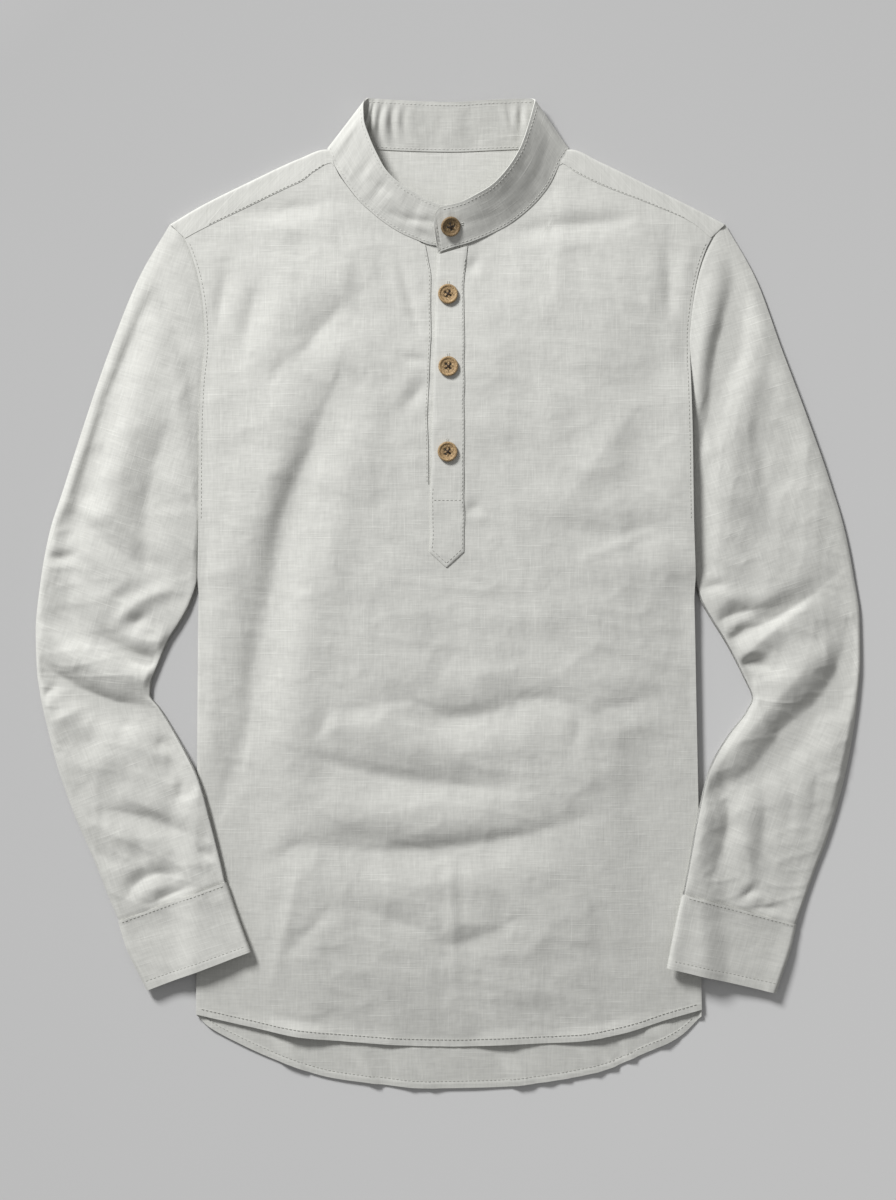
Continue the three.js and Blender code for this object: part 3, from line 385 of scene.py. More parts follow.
def fold_rise(folds, x, y):
    """Rise of the cloth at x, y from a table of folds."""
    rise = np.zeros_like(x)
    t = np.linspace(0, 1, FOLD_STEPS + 1)
    for row in zip(*folds.values()):
        from_x, from_y, mid_x, mid_y, to_x, to_y, depth, reach, lean = row
        px, py = curve(from_x, mid_x, to_x, t), curve(from_y, mid_y, to_y, t)
        margin = FOLD_MARGIN * reach
        near_it = (
            (x > px.min() - margin) & (x < px.max() + margin)
            & (y > py.min() - margin) & (y < py.max() + margin)
        )
        if not near_it.any():
            continue
        nx, ny = x[near_it], y[near_it]
        near = np.full(nx.shape, 1e9)
        place = np.zeros(nx.shape)
        side = np.ones(nx.shape)
        for i in range(FOLD_STEPS):
            dx, dy = px[i + 1] - px[i], py[i + 1] - py[i]
            s = np.clip(((nx - px[i]) * dx + (ny - py[i]) * dy) / (dx * dx + dy * dy), 0, 1)
            ox, oy = nx - px[i] - s * dx, ny - py[i] - s * dy
            off = np.hypot(ox, oy)
            closer = off < near
            near = np.where(closer, off, near)
            place = np.where(closer, (i + s) / FOLD_STEPS, place)
            side = np.where(closer, np.sign(dx * oy - dy * ox), side)
        across = np.sqrt(near * near + FOLD_BOTTOM) / (reach * (1 + lean * side))
        bank = BANK_SHARE * np.exp(-((near / reach - BANK_PLACE) ** 2) / BANK_SPREAD)
        taper = np.sin(np.pi * mix(FOLD_END, 1 - FOLD_END, place)) ** 0.9
        rise[near_it] += depth * taper * (np.exp(-(across ** 1.35)) - bank)
    return rise


def limited(rise, limit=FOLD_LIMIT):
    return limit * np.tanh(rise / limit)


def kept_above(height, lowest):
    """A height that levels out softly before it reaches the cloth beneath."""
    over = height - lowest
    return lowest + 0.5 * (over + np.sqrt(over * over + 0.8))


def crumple(x, y, seed, amount=1.0, turn=0.0, wrinkles=1.0):
    """Small uneven rises all over ironed linen, longer one way than the other.

    turn is the slope of the long way against Y, and wrinkles the share of the short ones."""
    x, y = x - turn * y, y + turn * x
    px, py = x + CRUMPLE_FROM, y + CRUMPLE_FROM
    large = soft_noise(px, py + 0.4 * x, 46, 62, seed) * 1.0
    upright = soft_noise(px + 0.12 * y, py, 15, 58, seed + 1) * 0.42
    level = soft_noise(px, py + 0.1 * x, 60, 17, seed + 2) * 0.36
    crossed = 1 - np.abs(soft_noise(px + 0.5 * y, py - 0.3 * x, 30, 38, seed + 4))
    fine = soft_noise(px + 0.3 * y, py, 6.5, 10, seed + 3) * 0.06
    flat_facets = 1 - np.abs(soft_noise(px - 0.2 * y, py + 0.15 * x, 34, 12, seed + 5))
    tall_facets = 1 - np.abs(soft_noise(px + 0.25 * y, py, 11, 30, seed + 6))
    facets = 0.34 * flat_facets ** 4 + 0.26 * tall_facets ** 4
    return amount * (large + wrinkles * (upright + level + fine + 0.4 * crossed ** 4 + facets))


def tube_height(across, power=8):
    """Share of a flat tube's height: 0 at its round edge, 1 on its flat top."""
    return np.sqrt(np.maximum(0.0, 1 - np.abs(2 * across - 1) ** power))


def edge_layer(y):
    """Height of the front's side edge: high along the sleeves, low at the side seams."""
    share = np.clip((SHOULDER_Y - y) / (SHOULDER_Y - UNDERARM_Y), 0, 0.5)
    beside_sleeve = ease((y + 45) / 70)
    over_sleeve = EDGE_OVER_SLEEVE * ease((y + 10) / 40) * ease((215 - y) / 70)
    flat = (FRONT_LAYER - EDGE_LAYER) * tube_height(share) * beside_sleeve
    return EDGE_LAYER + flat + over_sleeve


def front_inset(y):
    """How far the front's edge lies in from the side. It laps over the sleeve at the armhole."""
    return mix(0.4, -1.0, ease((y + 5) / 22))


def under_cuffs(x, y):
    """1 where a cuff or forearm lies on the front, so that the cloth there stays low."""
    return ease((np.abs(x) - 112) / 60) * ease((-110 - y) / 60) * ease((y + 365) / 20)


def front_height(x, y):
    """Middle of the front's cloth over the table."""
    from_edge = np.minimum(x - side_x(y, "left"), side_x(y, "right") - x)
    from_top, from_hem = along_x(FRONT_TOP, x) - y, y - along_x(FRONT_HEM, x)
    right_half = ease(x / 60)
    t = np.clip((from_edge - front_inset(y)) / EDGE_ROUND, 0, 1)
    layer = mix(HEM_LAYER, FRONT_LAYER, ease(from_hem / 55))
    edge = edge_layer(y) + EDGE_OFF_BACK * right_half * ease((20 - y) / 40) * ease((y + 335) / 60)
    high = np.maximum(edge - layer, 0) * (1 - ease(from_edge / 55)) * mix(0.15, 1, right_half)
    rounded = mix(np.minimum(edge, layer), layer, np.sqrt(1 - (1 - t) ** 2)) + high
    # Creases and puff, less at the placket, under the cuffs and at every edge
    calm = 1 - 0.7 * np.exp(-(((x - 0.5) / 16) ** 2)) * ease((y - 15) / 30)
    puff = BODY_PUFF * ease(from_edge / 75) * ease(from_top / 110) * ease(from_hem / 110)
    wrinkles = mix(1.25, 1.0, ease((y + 60) / 160))
    creases = limited(fold_rise(BODY_FOLDS, x, y)) + crumple(x, y, 11, wrinkles=wrinkles)
    rise = creases * calm + puff
    rise = mix(rise, np.minimum(rise, PRESSED_RISE), under_cuffs(x, y))
    rise = rise * ease(from_edge / 14) * mix(0.35, 1, ease(from_top / 25))
    rise = rise * mix(0.4, 1, ease(from_hem / 20))
    # The hem: a turned strip, its puckers and its slow waves
    px, py = x + PUCKER_FROM, y + PUCKER_FROM
    puckers = np.abs(soft_noise(px, py, 5.0, 30, 8)) + 0.6 * np.abs(soft_noise(px, py, 11, 40, 9))
    waves = (1.1 + 1.9 * soft_noise(px, 0 * y, 34, 40, 19)) * ease((180 - np.abs(x)) / 40)
    hem = HEM_RISE_FRONT * ease((HEM_WIDTH + 0.6 - from_hem) / 0.8)
    hem = hem + (0.35 * puckers + waves) * ease((14 - from_hem) / 9)
    hem = hem + 0.5 * waves * ease((45 - from_hem) / 30)
    return kept_above(rounded + rise, np.minimum(LOWEST_FRONT, rounded - 0.45)) + hem


def slit_bend(y):
    """How far the slit's left edge strays from a straight line."""
    return smooth(SLIT_BEND["y"], SLIT_BEND["out"], y)


def row_shares(length, pitch):
    """Even shares from 0 to 1, about pitch apart on a run of that length."""
    return np.linspace(0, 1, max(2, round(length / pitch)) + 1)


def front_grid(pitch):
    """Middle points of the front on a grid, their places in the cloth, and the cells that stay."""
    first, last = FRONT_TOP["x"][0], FRONT_TOP["x"][-1]
    hem_first, hem_last = FRONT_HEM["x"][0], FRONT_HEM["x"][-1]
    edge = np.array([0, 0.4, 1.0, 2.0, 3.2, 4.8, 6.6, 8.8])
    from_side = 11.5
    half_count = round(195 / pitch)
    left = np.concatenate([first + edge, np.linspace(first + from_side, SLIT_LEFT, half_count)])
    middle = np.linspace(SLIT_LEFT, SLIT_RIGHT, round(25 / pitch) + 1)[1:-1]
    right = np.linspace(SLIT_RIGHT, last - from_side, half_count)
    top_x = np.concatenate([left, middle, right, (last - edge)[::-1]])
    slit_share = (FRONT_TOP_Y - SLIT_END_Y) / FRONT_LENGTH
    down = np.concatenate([
        row_shares(201, pitch) * slit_share,
        slit_share + row_shares(450, pitch)[1:] * (1 - slit_share),
        1 - np.array([HEM_WIDTH, HEM_WIDTH + 0.8, 0.8]) / FRONT_LENGTH,
    ])
    down = np.sort(down)
    left_share = np.clip((top_x - SLIT_LEFT) / (first - SLIT_LEFT), 0, 1)
    right_share = np.clip((top_x - SLIT_RIGHT) / (last - SLIT_RIGHT), 0, 1)
    hem_x = top_x + left_share * (hem_first - first) + right_share * (hem_last - last)
    column, rows = np.meshgrid(np.arange(len(top_x)), down)
    under_collar = mix(0.4, 1.5, ease((100 - np.abs(top_x)) / 3))
    top_y = along_x(FRONT_TOP, top_x) + under_collar
    y = mix(top_y[column], along_x(FRONT_HEM, hem_x)[column], rows)
    left_y = mix(FRONT_TOP["y"][0], FRONT_HEM["y"][0], rows)
    right_y = mix(FRONT_TOP["y"][-1], FRONT_HEM["y"][-1], rows)
    left_bow = side_x(left_y, "left") + front_inset(left_y) - mix(first, hem_first, rows)
    right_bow = side_x(right_y, "right") - front_inset(right_y) - mix(last, hem_last, rows)
    x = mix(top_x[column], hem_x[column], rows)
    x = x + left_share[column] * left_bow + right_share[column] * right_bow
    beside_slit = np.exp(-(((x - SLIT_LEFT) / 9) ** 2)) * (top_x[column] < SLIT_LEFT + 0.01)
    x = x + slit_bend(y) * beside_slit
    first_slit = int(np.argmin(np.abs(top_x - SLIT_LEFT)))
    last_slit = int(np.argmin(np.abs(top_x - SLIT_RIGHT)))
    keep = np.ones((len(down) - 1, len(top_x) - 1), bool)
    keep[down[1:] <= slit_share + 1e-6, first_slit:last_slit] = False
    return front_surface(x, y), np.stack([x, y], -1), keep


def tube_outline(rows, along):
    outer = np.stack([by_row(rows, "outer_x", along), by_row(rows, "outer_y", along)], -1)
    inner = np.stack([by_row(rows, "inner_x", along), by_row(rows, "inner_y", along)], -1)
    return outer, inner


def ride(side, x, y):
    """How high a sleeve or cuff is carried by the body under it."""
    inside = x - side_x(y, "left") if side == "left" else side_x(y, "right") - x
    over_body = ease((inside + RIDE_REACH) / (RIDE_REACH + 2))
    return RIDE_HEIGHT * over_body * ease((RIDE_FROM_Y - y) / 35)


def sleeve_plan(side, along, across):
    """Place on the table of a point of a sleeve."""
    rows = SLEEVES[side]
    outer, inner = tube_outline(rows, along)
    over = inner - outer
    width = np.linalg.norm(over, axis=-1, keepdims=True)
    start = 1 - ease(along / 1.5)[..., None]
    outer, inner = outer + over / width * 0.5, inner - over / width * mix(0.5, 0.2, start)
    plan = mix(outer, inner, across[..., None])
    outward = -1 if side == "left" else 1
    y = mix(SHOULDER_Y, UNDERARM_Y, across)
    start_outer, start_inner = tube_outline(rows, np.zeros(1))
    chord_x = mix(start_outer[0, 0], start_inner[0, 0], across)
    fade = np.clip(1 - along / 5.0, 0, 1) ** 2 * (1 - across ** 12)
    plan[..., 0] += (side_x(y, side) - outward * 1.4 - chord_x) * fade
    return plan


def cuff_plan(side, along, across):
    outer, inner = tube_outline(CUFFS[side], along)
    return mix(outer, inner, across[..., None])


def tube_surface(side, plan, across, upper, loft, rise, bow, off_table=EDGE_OFF_TABLE):
    """Points of a flat tube from its plan places. bow lifts the middle of its upper layer."""
    crown = across ** CROWN_SHIFT[side]
    x, y = plan[..., 0], plan[..., 1]
    height = tube_height(across, TUBE_CREASE)
    from_edge = np.minimum(across, 1 - across)
    uneven = 0.75 + 0.5 * soft_noise(x + CRUMPLE_FROM, y + CRUMPLE_FROM, 60, 60, 91)
    edge_share = (1 - ease(from_edge / 0.16)) * uneven
    base = ride(side, x, y) + TABLE_LAYER + loft + off_table * edge_share
    lifted = loft + bow * np.sin(np.pi * crown) + rise * ease(from_edge / 0.06)
    top = height * kept_above(lifted, 0.9 - loft)
    return np.stack([x, y, base + np.where(upper, top, -height * loft)], -1)


def tube_places(rows, count):
    """Places on a tube, for each row and each of the points round it.

    They are the place along, the share across, and whether the point is on the upper layer."""
    turn = np.arange(count + 1) / count * 2 * np.pi
    across = (1 - np.cos(turn)) / 2
    across = mix(across, np.where(turn <= np.pi, turn / np.pi, 2 - turn / np.pi), 0.55)
    along, index = np.meshgrid(rows, np.arange(count + 1), indexing="ij")
    return along, across[index], (turn > np.pi)[index]


def sleeve_points(side, along, across, upper):
    """Points of a sleeve, along its table's rows and across from its outer edge."""
    plan = sleeve_plan(side, along, across)
    tucked = ease((along - 14.86) / 0.13)  # 1 where the sleeve's end lies inside its cuff
    plan = plan + tucked[..., None] * np.array([0.4 if side == "left" else -0.3, -1.3])
    x, y = plan[..., 0], plan[..., 1]
    start = ease(along / 1.2)
    folds = limited(fold_rise(SLEEVE_FOLDS[side], x, y), SLEEVE_FOLD_LIMIT)
    way = -1 if side == "left" else 1
    turn = way * 0.3 * mix(1, -1, ease((-45 - y) / 80))
    seed = 31 if side == "left" else 47
    small = crumple(x - way * ELBOW_X, y - ELBOW_Y, seed, 1.2, turn, 1.25)
    into_seam = -0.7 * (1 - ease(along / 0.45)) - 2.0 * (1 - ease(along / 0.10))
    rise = (folds + small) * mix(0.2, 1, start) + into_seam
    bow = SLEEVE_PUFF * start * mix(0.45, 1, ease((15.2 - along) / 3))
    loft = mix((FRONT_LAYER - TABLE_LAYER) / 2, SLEEVE_EDGE_LOFT, ease(along / 3.5))
    loft = mix(CUFF_LOFT, loft, ease((15.05 - along) / 1.5))
    off_table = EDGE_OFF_TABLE * ease((along - 0.3) / 2.5)
    off_table = off_table * mix(1, ease((30 - y) / 60), ease((across - 0.6) / 0.2))
    points = tube_surface(side, plan, across, upper, loft, rise, bow, off_table)
    points[..., 2] += np.where(upper, -0.75, 0.75) * tucked
    if side == "right":
        off_body = x - side_x(y, "right")
        beside_body = ease((22 - off_body) / 14) * ease((y + 5) / 30) * ease((125 - y) / 40)
        low = mix(points[..., 2], np.minimum(points[..., 2], BESIDE_BODY_TOP), beside_body)
        points[..., 2] = np.where(upper, low, points[..., 2])
    return points


def sleeve_weave(side, x, y, upper):
    """Places in a sleeve's cloth, whose threads follow the bent arm."""
    way = 1 if side == "left" else -1
    above_elbow = ease((y + 135) / 100)
    slope = way * mix(-0.35, 0.30, above_elbow)
    across_grain = x - slope * (y - ELBOW_Y)
    along_grain = y + slope * (across_grain + way * ELBOW_X)
    return np.stack([np.where(upper, across_grain, 1400 - across_grain), along_grain], -1)


def cuff_points(side, along, across, upper):
    """Points of a cuff, along its table's rows and across from its outer edge."""
    plan = cuff_plan(side, along, across)
    x, y = plan[..., 0], plan[..., 1]
    rise = crumple(x, y, 63 if side == "left" else 71, 0.8)
    puckers = np.abs(soft_noise(x + PUCKER_FROM + 0.3 * y, y + PUCKER_FROM, 5.5, 26, 87))
    rise = rise + 0.7 * puckers * ease((0.7 - along) / 0.6)
    rise = rise + 0.3 * ease((along - 1.82) / 0.04) + 0.25 * ease((0.16 - along) / 0.04)
    points = tube_surface(side, plan, across, upper, CUFF_LOFT, rise, 1.4)
    points[..., 2] += 2.2 * ease((along - 0.6) / 1.4)
    return points


def collar_points(along, up):
    """A point of the collar band, along its table's rows and up from its seam to its top edge."""
    value = {name: by_row(COLLAR, name, along) for name in COLLAR}
    x = mix(value["base_x"], value["top_x"], up)
    y = mix(value["base_y"], value["top_y"], up)
    on_front = ease((along - 4.4) / 1.2) * ease((10.2 - along) / 0.8) + ease((along - 22) / 0.8)
    on_cloth = front_height(value["base_x"], value["base_y"]) + 0.4
    z = mix(mix(value["base_z"], on_cloth, on_front), value["top_z"], up ** 1.25)
    bow = 0.7 * np.sin(np.pi * up) * ease(np.abs(along - 12.5) / 2)
    z = z + bow * ease(np.abs(along - 20) / 2)
    dents = 1.0 * soft_noise(x + 500 + 0.3 * y, y + 500, 13, 34, 81)
    dents = dents * ease((along - 12.4) / 1.2) * ease((20 - along) / 1.2)
    calm = mix(0.45, 1, ease(np.abs(along - 7) / 4 - 0.4))
    ripples = 0.9 * calm * soft_noise(along * 9, up * 3 + 40, 5, 2.2, 83)
    ripples = ripples + fold_rise(COLLAR_FOLDS, along * COLLAR_ROW, up * COLLAR_HEIGHT)
    inner = np.sin(np.pi * np.clip(up, 0, 1)) ** 0.7
    return np.stack([x, y, z + (dents + ripples) * inner], -1)


class Value:
    """A number socket that takes Python arithmetic."""

    def __init__(self, graph, socket):
        self.graph = graph
        self.socket = socket

    def math(self, operation, first, second):
        node = self.graph.node("ShaderNodeMath", {"operation": operation}, {0: first, 1: second})
        return Value(self.graph, node.outputs[0])

    def __add__(self, other):
        return self.math("ADD", self, other)

    def __radd__(self, other):
        return self.math("ADD", other, self)

    def __sub__(self, other):
        return self.math("SUBTRACT", self, other)

    def __rsub__(self, other):
        return self.math("SUBTRACT", other, self)

    def __mul__(self, other):
        return self.math("MULTIPLY", self, other)

    def __rmul__(self, other):
        return self.math("MULTIPLY", other, self)


class Graph:
    """A new material and its nodes."""

    def __init__(self, name):
        self.material = bpy.data.materials.new(name)
        self.material.use_nodes = True
        self.tree = self.material.node_tree
        self.tree.nodes.clear()

    def node(self, kind, settings=None, sockets=None):
        """A node with its settings and the values or links of its sockets."""
        made = self.tree.nodes.new(kind)
        for name, setting in (settings or {}).items():
            if name == "stops":
                for i, (place, shade) in enumerate(setting):
                    stops = made.color_ramp.elements
                    stop = stops[i] if i < len(stops) else stops.new(place)
                    stop.position = place
                    stop.color = (shade, shade, shade, 1)
            else:
                setattr(made, name, setting)
        for name, value in (sockets or {}).items():
            if isinstance(value, Value):
                value = value.socket
            if isinstance(value, bpy.types.NodeSocket):
                self.tree.links.new(value, made.inputs[name])
            else:
                made.inputs[name].default_value = value
        return made

    def value(self, kind, settings=None, sockets=None):
        return Value(self, self.node(kind, settings, sockets).outputs[0])

    def ramp(self, factor, stops):
        return self.value("ShaderNodeValToRGB", {"stops": stops}, {"Fac": factor})

    def place(self, u, v, w=0.0):
        return self.node("ShaderNodeCombineXYZ", None, {"X": u, "Y": v, "Z": w}).outputs[0]

    def first_two(self, vector):
        """The first two numbers of a vector."""
        split = self.node("ShaderNodeSeparateXYZ", None, {0: vector})
        return Value(self, split.outputs[0]), Value(self, split.outputs[1])

    def on_object(self):
        return self.node("ShaderNodeTexCoord").outputs["Object"]

    def noise(self, vector, scale=1.0, detail=2.0, roughness=0.5, **settings):
        sockets = {"Vector": vector, "Scale": scale, "Detail": detail, "Roughness": roughness}
        return self.value("ShaderNodeTexNoise", settings, sockets)

    def mixed(self, factor, first, second, blend="MIX"):
        """Two colours mixed by a factor."""
        settings = {"data_type": "RGBA", "blend_type": blend}
        sockets = {"Factor": factor, 6: first, 7: second}
        return self.node("ShaderNodeMix", settings, sockets).outputs[2]

    def toned(self, colour, tone):
        """A colour made lighter or darker by a varying tone."""
        grey = {"Red": tone, "Green": tone, "Blue": tone}
        tint = self.node("ShaderNodeCombineColor", None, grey).outputs[0]
        return self.mixed(1.0, rgba(colour), tint, "MULTIPLY")

    def bump(self, height, strength, distance):
        sockets = {"Height": height, "Strength": strength, "Distance": distance}
        return self.node("ShaderNodeBump", None, sockets).outputs[0]

    def surface(self, **sockets):
        """The finished material, from the values of its shader's sockets."""
        named = {name.replace("_", " "): value for name, value in sockets.items()}
        shader = self.node("ShaderNodeBsdfPrincipled", None, named)
        self.node("ShaderNodeOutputMaterial", None, {"Surface": shader.outputs[0]})
        return self.material


def rgba(colour, scale=1.0):
    return (colour[0] * scale, colour[1] * scale, colour[2] * scale, 1.0)


def linen_material(name, colour, slub_strength):
    """Plain woven slub linen: crossing threads, thick slubs, faint mottling and a fine nap."""
    graph = Graph(name)
    u, v = graph.first_two(graph.node("ShaderNodeUVMap", {"uv_map": "weave"}).outputs[0])

    def both_ways(long, short, starts, **kind):
        """The same noise drawn out along the cloth's width and along its length."""
        return (
            graph.noise(graph.place(u * long, v * short, starts[0]), **kind),
            graph.noise(graph.place(u * short, v * long, starts[1]), **kind),
        )

    level, upright = both_ways(52.0, 620.0, (0.0, 3.0), detail=4.0, roughness=0.7)
    level_slubs, upright_slubs = (
        graph.ramp(thick, [(0.0, 0.0), (0.59, 0.0), (0.74, 1.0)])
        for thick in both_ways(24.0, 700.0, (7.0, 11.0))
    )
    patches = graph.noise(graph.place(u, v, 5.0), scale=11.0, roughness=0.6)
    mottling = graph.noise(graph.place(u, v), scale=60.0, detail=3.0, roughness=0.65)
    threads = level * 0.5 + upright * 0.5
    slubs = level_slubs + upright_slubs * 0.8
    shade = threads * 0.66 + mottling * 0.10 + patches * 0.08
    shade = shade + slubs * (0.085 * slub_strength) + 0.565
    creases = graph.noise(graph.place(u, v, 9.0), scale=34.0, detail=3.0)
    sharp_creases = graph.noise(
        graph.place(u, v, 21.0), scale=17.0, detail=3.0, roughness=0.45,
        noise_type="RIDGED_MULTIFRACTAL", normalize=True,
    )
    height = threads * 0.00016 + slubs * 0.00006 + creases * 0.0010 + sharp_creases * 0.0012
    return graph.surface(
        Base_Color=graph.toned(colour, shade), Roughness=0.93 - slubs * 0.05,
        Normal=graph.bump(height, 1.0, 1.0),
        Specular_IOR_Level=0.22, Sheen_Weight=0.22, Sheen_Roughness=0.55,
    )


def thread_material(name, colour):
    """Twisted cotton sewing thread."""
    graph = Graph(name)
    twist = graph.noise(graph.on_object(), scale=2600.0)
    base = graph.mixed(twist, rgba(colour, 0.8), rgba(colour, 1.1))
    return graph.surface(Base_Color=base, Roughness=0.8, Normal=graph.bump(twist, 0.4, 0.0001))


def coconut_material(name, light, dark):
    """Turned coconut shell: fine dark flecks over brown streaks, with a dull polish."""
    graph = Graph(name)
    where = graph.on_object()
    x, y = graph.first_two(where)
    grain = graph.noise(graph.place(x * 260.0, y * 900.0), detail=4.0, roughness=0.65)
    speckle = graph.noise(where, scale=1250.0, detail=3.0, roughness=0.8)
    flecks = graph.ramp(speckle, [(0.0, 1.0), (0.45, 0.9), (0.54, 0.0)])
    base = graph.mixed(grain, rgba(dark), rgba(light))
    return graph.surface(
        Base_Color=graph.mixed(flecks * 0.85, base, rgba(dark, 0.4)),
        Roughness=0.6 + grain * 0.15, Normal=graph.bump(grain + flecks * 0.4, 0.4, 0.0003),
    )


def floor_material(colour):
    """Smooth matt board, toned so that the light's fall-off doesn't show on it."""
    graph = Graph("pale_board")
    where = graph.on_object()
    x, y = graph.first_two(where)
    tone = x * 0.32 - y * 0.41 + graph.noise(where, scale=3.0) * 0.02 + 0.99
    tone = tone.math("MINIMUM", tone, 1.35)
    tone = tone.math("MAXIMUM", tone, 0.7)
    return graph.surface(
        Base_Color=graph.toned(colour, tone), Roughness=0.85, Specular_IOR_Level=0.2,
    )


def material_of(context, kind):
    """The shared material of one kind, made the first time it is asked for."""
    if kind in bpy.data.materials:
        return bpy.data.materials[kind]
    colours = context.scene.shirt_colours
    if kind == "linen_face":
        return linen_material(kind, colours.linen, colours.slubs)
    # The back's cloth: the linen painted 3% darker, as shade on the back hem strip under the
    # front's hem
    if kind == "linen_inside":
        return linen_material(kind, [c * 0.97 for c in colours.linen], colours.slubs)
    if kind in THREAD_COLOURS:
        return thread_material(kind, getattr(colours, THREAD_COLOURS[kind]))
    if kind == "coconut":
        return coconut_material(kind, colours.button_light, colours.button_dark)
    light, dark = [c * 0.62 for c in colours.button_light], [c * 0.7 for c in colours.button_dark]
    return coconut_material(kind, light, dark)


# What each kind of thread is coloured by. The darker hem and seam thread is partly its own colour
# and partly painted shade of its stitch holes and seam lines
THREAD_COLOURS = {
    "sewing_thread": "thread", "hem_thread": "hem_thread", "button_thread": "button_thread",
}


def add_object(name, mesh, material):
    mesh.materials.append(material)
    piece = bpy.data.objects.new(name, mesh)
    bpy.context.scene.collection.objects.link(piece)
    return piece


def grid_piece(name, points, weave, material, thickness, keep=None):
    """A thin shell on a grid of middle points, with their places in the cloth, in millimetres."""
    rows, columns = points.shape[:2]
    if keep is None:
        keep = np.ones((rows - 1, columns - 1), bool)
    number = np.arange(rows * columns).reshape(rows, columns)
    corners = [number[:-1, :-1], number[:-1, 1:], number[1:, 1:], number[1:, :-1]]
    corners = np.stack(corners, -1)[keep]
    used, faces = np.unique(corners, return_inverse=True)
    faces = faces.reshape(-1, 4)
    flat_points = points.reshape(-1, 3)[used] * MM
    mesh = bpy.data.meshes.new(name)
    mesh.from_pydata(flat_points.tolist(), [], faces.tolist())
    layer = mesh.uv_layers.new(name="weave")
    layer.data.foreach_set("uv", (weave.reshape(-1, 2)[corners.reshape(-1)] * MM).ravel())
    mesh.polygons.foreach_set("use_smooth", np.ones(len(faces), bool))
    edge_of = np.empty(len(mesh.loops), int)
    mesh.loops.foreach_get("edge_index", edge_of)
    cut_edges = np.bincount(edge_of, minlength=len(mesh.edges)) == 1
    mesh.attributes.new("sharp_edge", "BOOLEAN", "EDGE").data.foreach_set("value", cut_edges)
    piece = add_object(name, mesh, material)
    shell = piece.modifiers.new("cloth", "SOLIDIFY")
    shell.thickness = thickness
    shell.offset = 0.0
    shell.use_even_offset = True
    return piece


def tube_piece(context, name, side, points, weave, thickness):
    """As grid_piece, for a sleeve or cuff, whose last column lies on its first."""
    if side == "left":
        points, weave = points[:, ::-1], weave[:, ::-1]
    piece = grid_piece(name, points, weave, material_of(context, "linen_face"), thickness)
    weld = piece.modifiers.new("seam", "WELD")
    weld.merge_threshold = 0.00002
    piece.modifiers.move(1, 0)
    return piece


# By default the darker thread, which also paints the shade of the stitch holes and seam lines
def sew(context, name, lines, kind="hem_thread", thread=THREAD, length=None, gap=STITCH_GAP):
    """A row of short thread stitches along each line of points in millimetres.

    Each line is (points, normals): its stitches lie half sunk in the cloth."""
    length = length or context.scene.shirt_sizes.stitch / MM
    rings, sides = len(STITCH_PLACES), STITCH_SIDES
    vertices, faces = [], []
    for points, normals in lines:
        steps = np.linalg.norm(np.diff(points, axis=0), axis=1)
        run = np.concatenate([[0], np.cumsum(steps)])
        for start in np.arange(gap / 2, run[-1] - length, length + gap):
            at = start + STITCH_PLACES * length
            centre = np.stack([np.interp(at, run, points[:, i]) for i in range(3)], -1)
            normal = np.stack([np.interp(at, run, normals[:, i]) for i in range(3)], -1)
            normal /= np.linalg.norm(normal, axis=1, keepdims=True)
            forward = centre[-1] - centre[0]
            forward /= np.linalg.norm(forward)
            sideways = np.cross(normal, forward)
            fat = thread / 2 * STITCH_FATNESS
            base = len(vertices)
            for j in range(rings):
                for s in range(sides):
                    turn = 2 * math.pi * s / sides
                    up = normal[j] * (math.sin(turn) * fat[j] + STITCH_RISE[j])
                    vertices.append((centre[j] + (up + sideways[j] * math.cos(turn) * fat[j])) * MM)
            for j in range(rings - 1):
                for s in range(sides):
                    a, b = base + j * sides + s, base + j * sides + (s + 1) % sides
                    faces.append((a, b, b + sides, a + sides))
            faces.append(tuple(base + s for s in reversed(range(sides))))
            faces.append(tuple(base + (rings - 1) * sides + s for s in range(sides)))
    mesh = bpy.data.meshes.new(name)
    mesh.from_pydata(vertices, [], faces)
    mesh.polygons.foreach_set("use_smooth", np.ones(len(faces), bool))
    piece = add_object(name, mesh, material_of(context, kind))
    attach(piece, "root")
    return piece


def surface_line(surface, first, second, lift):
    """Points lifted off a surface of two numbers, with the surface's upward normals."""
    step = 0.5
    across = surface(first + step, second) - surface(first - step, second)
    up = surface(first, second + step) - surface(first, second - step)
    normals = np.cross(across, up)
    normals /= np.linalg.norm(normals, axis=-1, keepdims=True)
    normals *= np.sign(normals[..., 2:3])
    return surface(first, second) + normals * lift, normals


def front_surface(x, y):
    return np.stack([x, y, front_height(x, y)], -1)


def run_along(points, axis):
    """Distances walked over a grid of points from its first row or column."""
    steps = np.linalg.norm(np.diff(points, axis=axis), axis=-1)
    start = np.zeros_like(np.take(points[..., 0], [0], axis))
    return np.concatenate([start, np.cumsum(steps, axis=axis)], axis=axis)


def upward(points):
    return np.tile([0.0, 0.0, 1.0], (len(points), 1))


def finish_cloth(piece, node):
    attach(piece, "root")
    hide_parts(node)


def length_setting(name, description, default, **more):
    return bpy.props.FloatProperty(
        name=name, description=description, default=default, unit="LENGTH", **more,
    )


def colour_setting(name, description, default):
    return bpy.props.FloatVectorProperty(
        name=name, description=description, default=default, subtype="COLOR", size=3, min=0, max=1,
    )


class ShirtSizes(bpy.types.PropertyGroup):
    cloth: length_setting(
        "Cloth", "Thickness of one layer of linen", 0.0007, min=0.0002, precision=5,
    )
    band_cloth: length_setting(
        "Band cloth", "Thickness of the stiffened collar, cuffs and placket", 0.0011,
        min=0.0004, precision=5,
    )
    pitch: length_setting(
        "Grid pitch", "Distance between the points that carry the folds", 0.0025,
        min=0.001, precision=4,
    )
    stitch: length_setting("Stitch length", "Length of one stitch", STITCH_LENGTH * MM, precision=4)
    button: length_setting(
        "Button diameter", "Outside diameter of a button", 0.0165, precision=4,
    )
    camera_height: length_setting("Camera height", "Height of the camera over the table", 2.2)


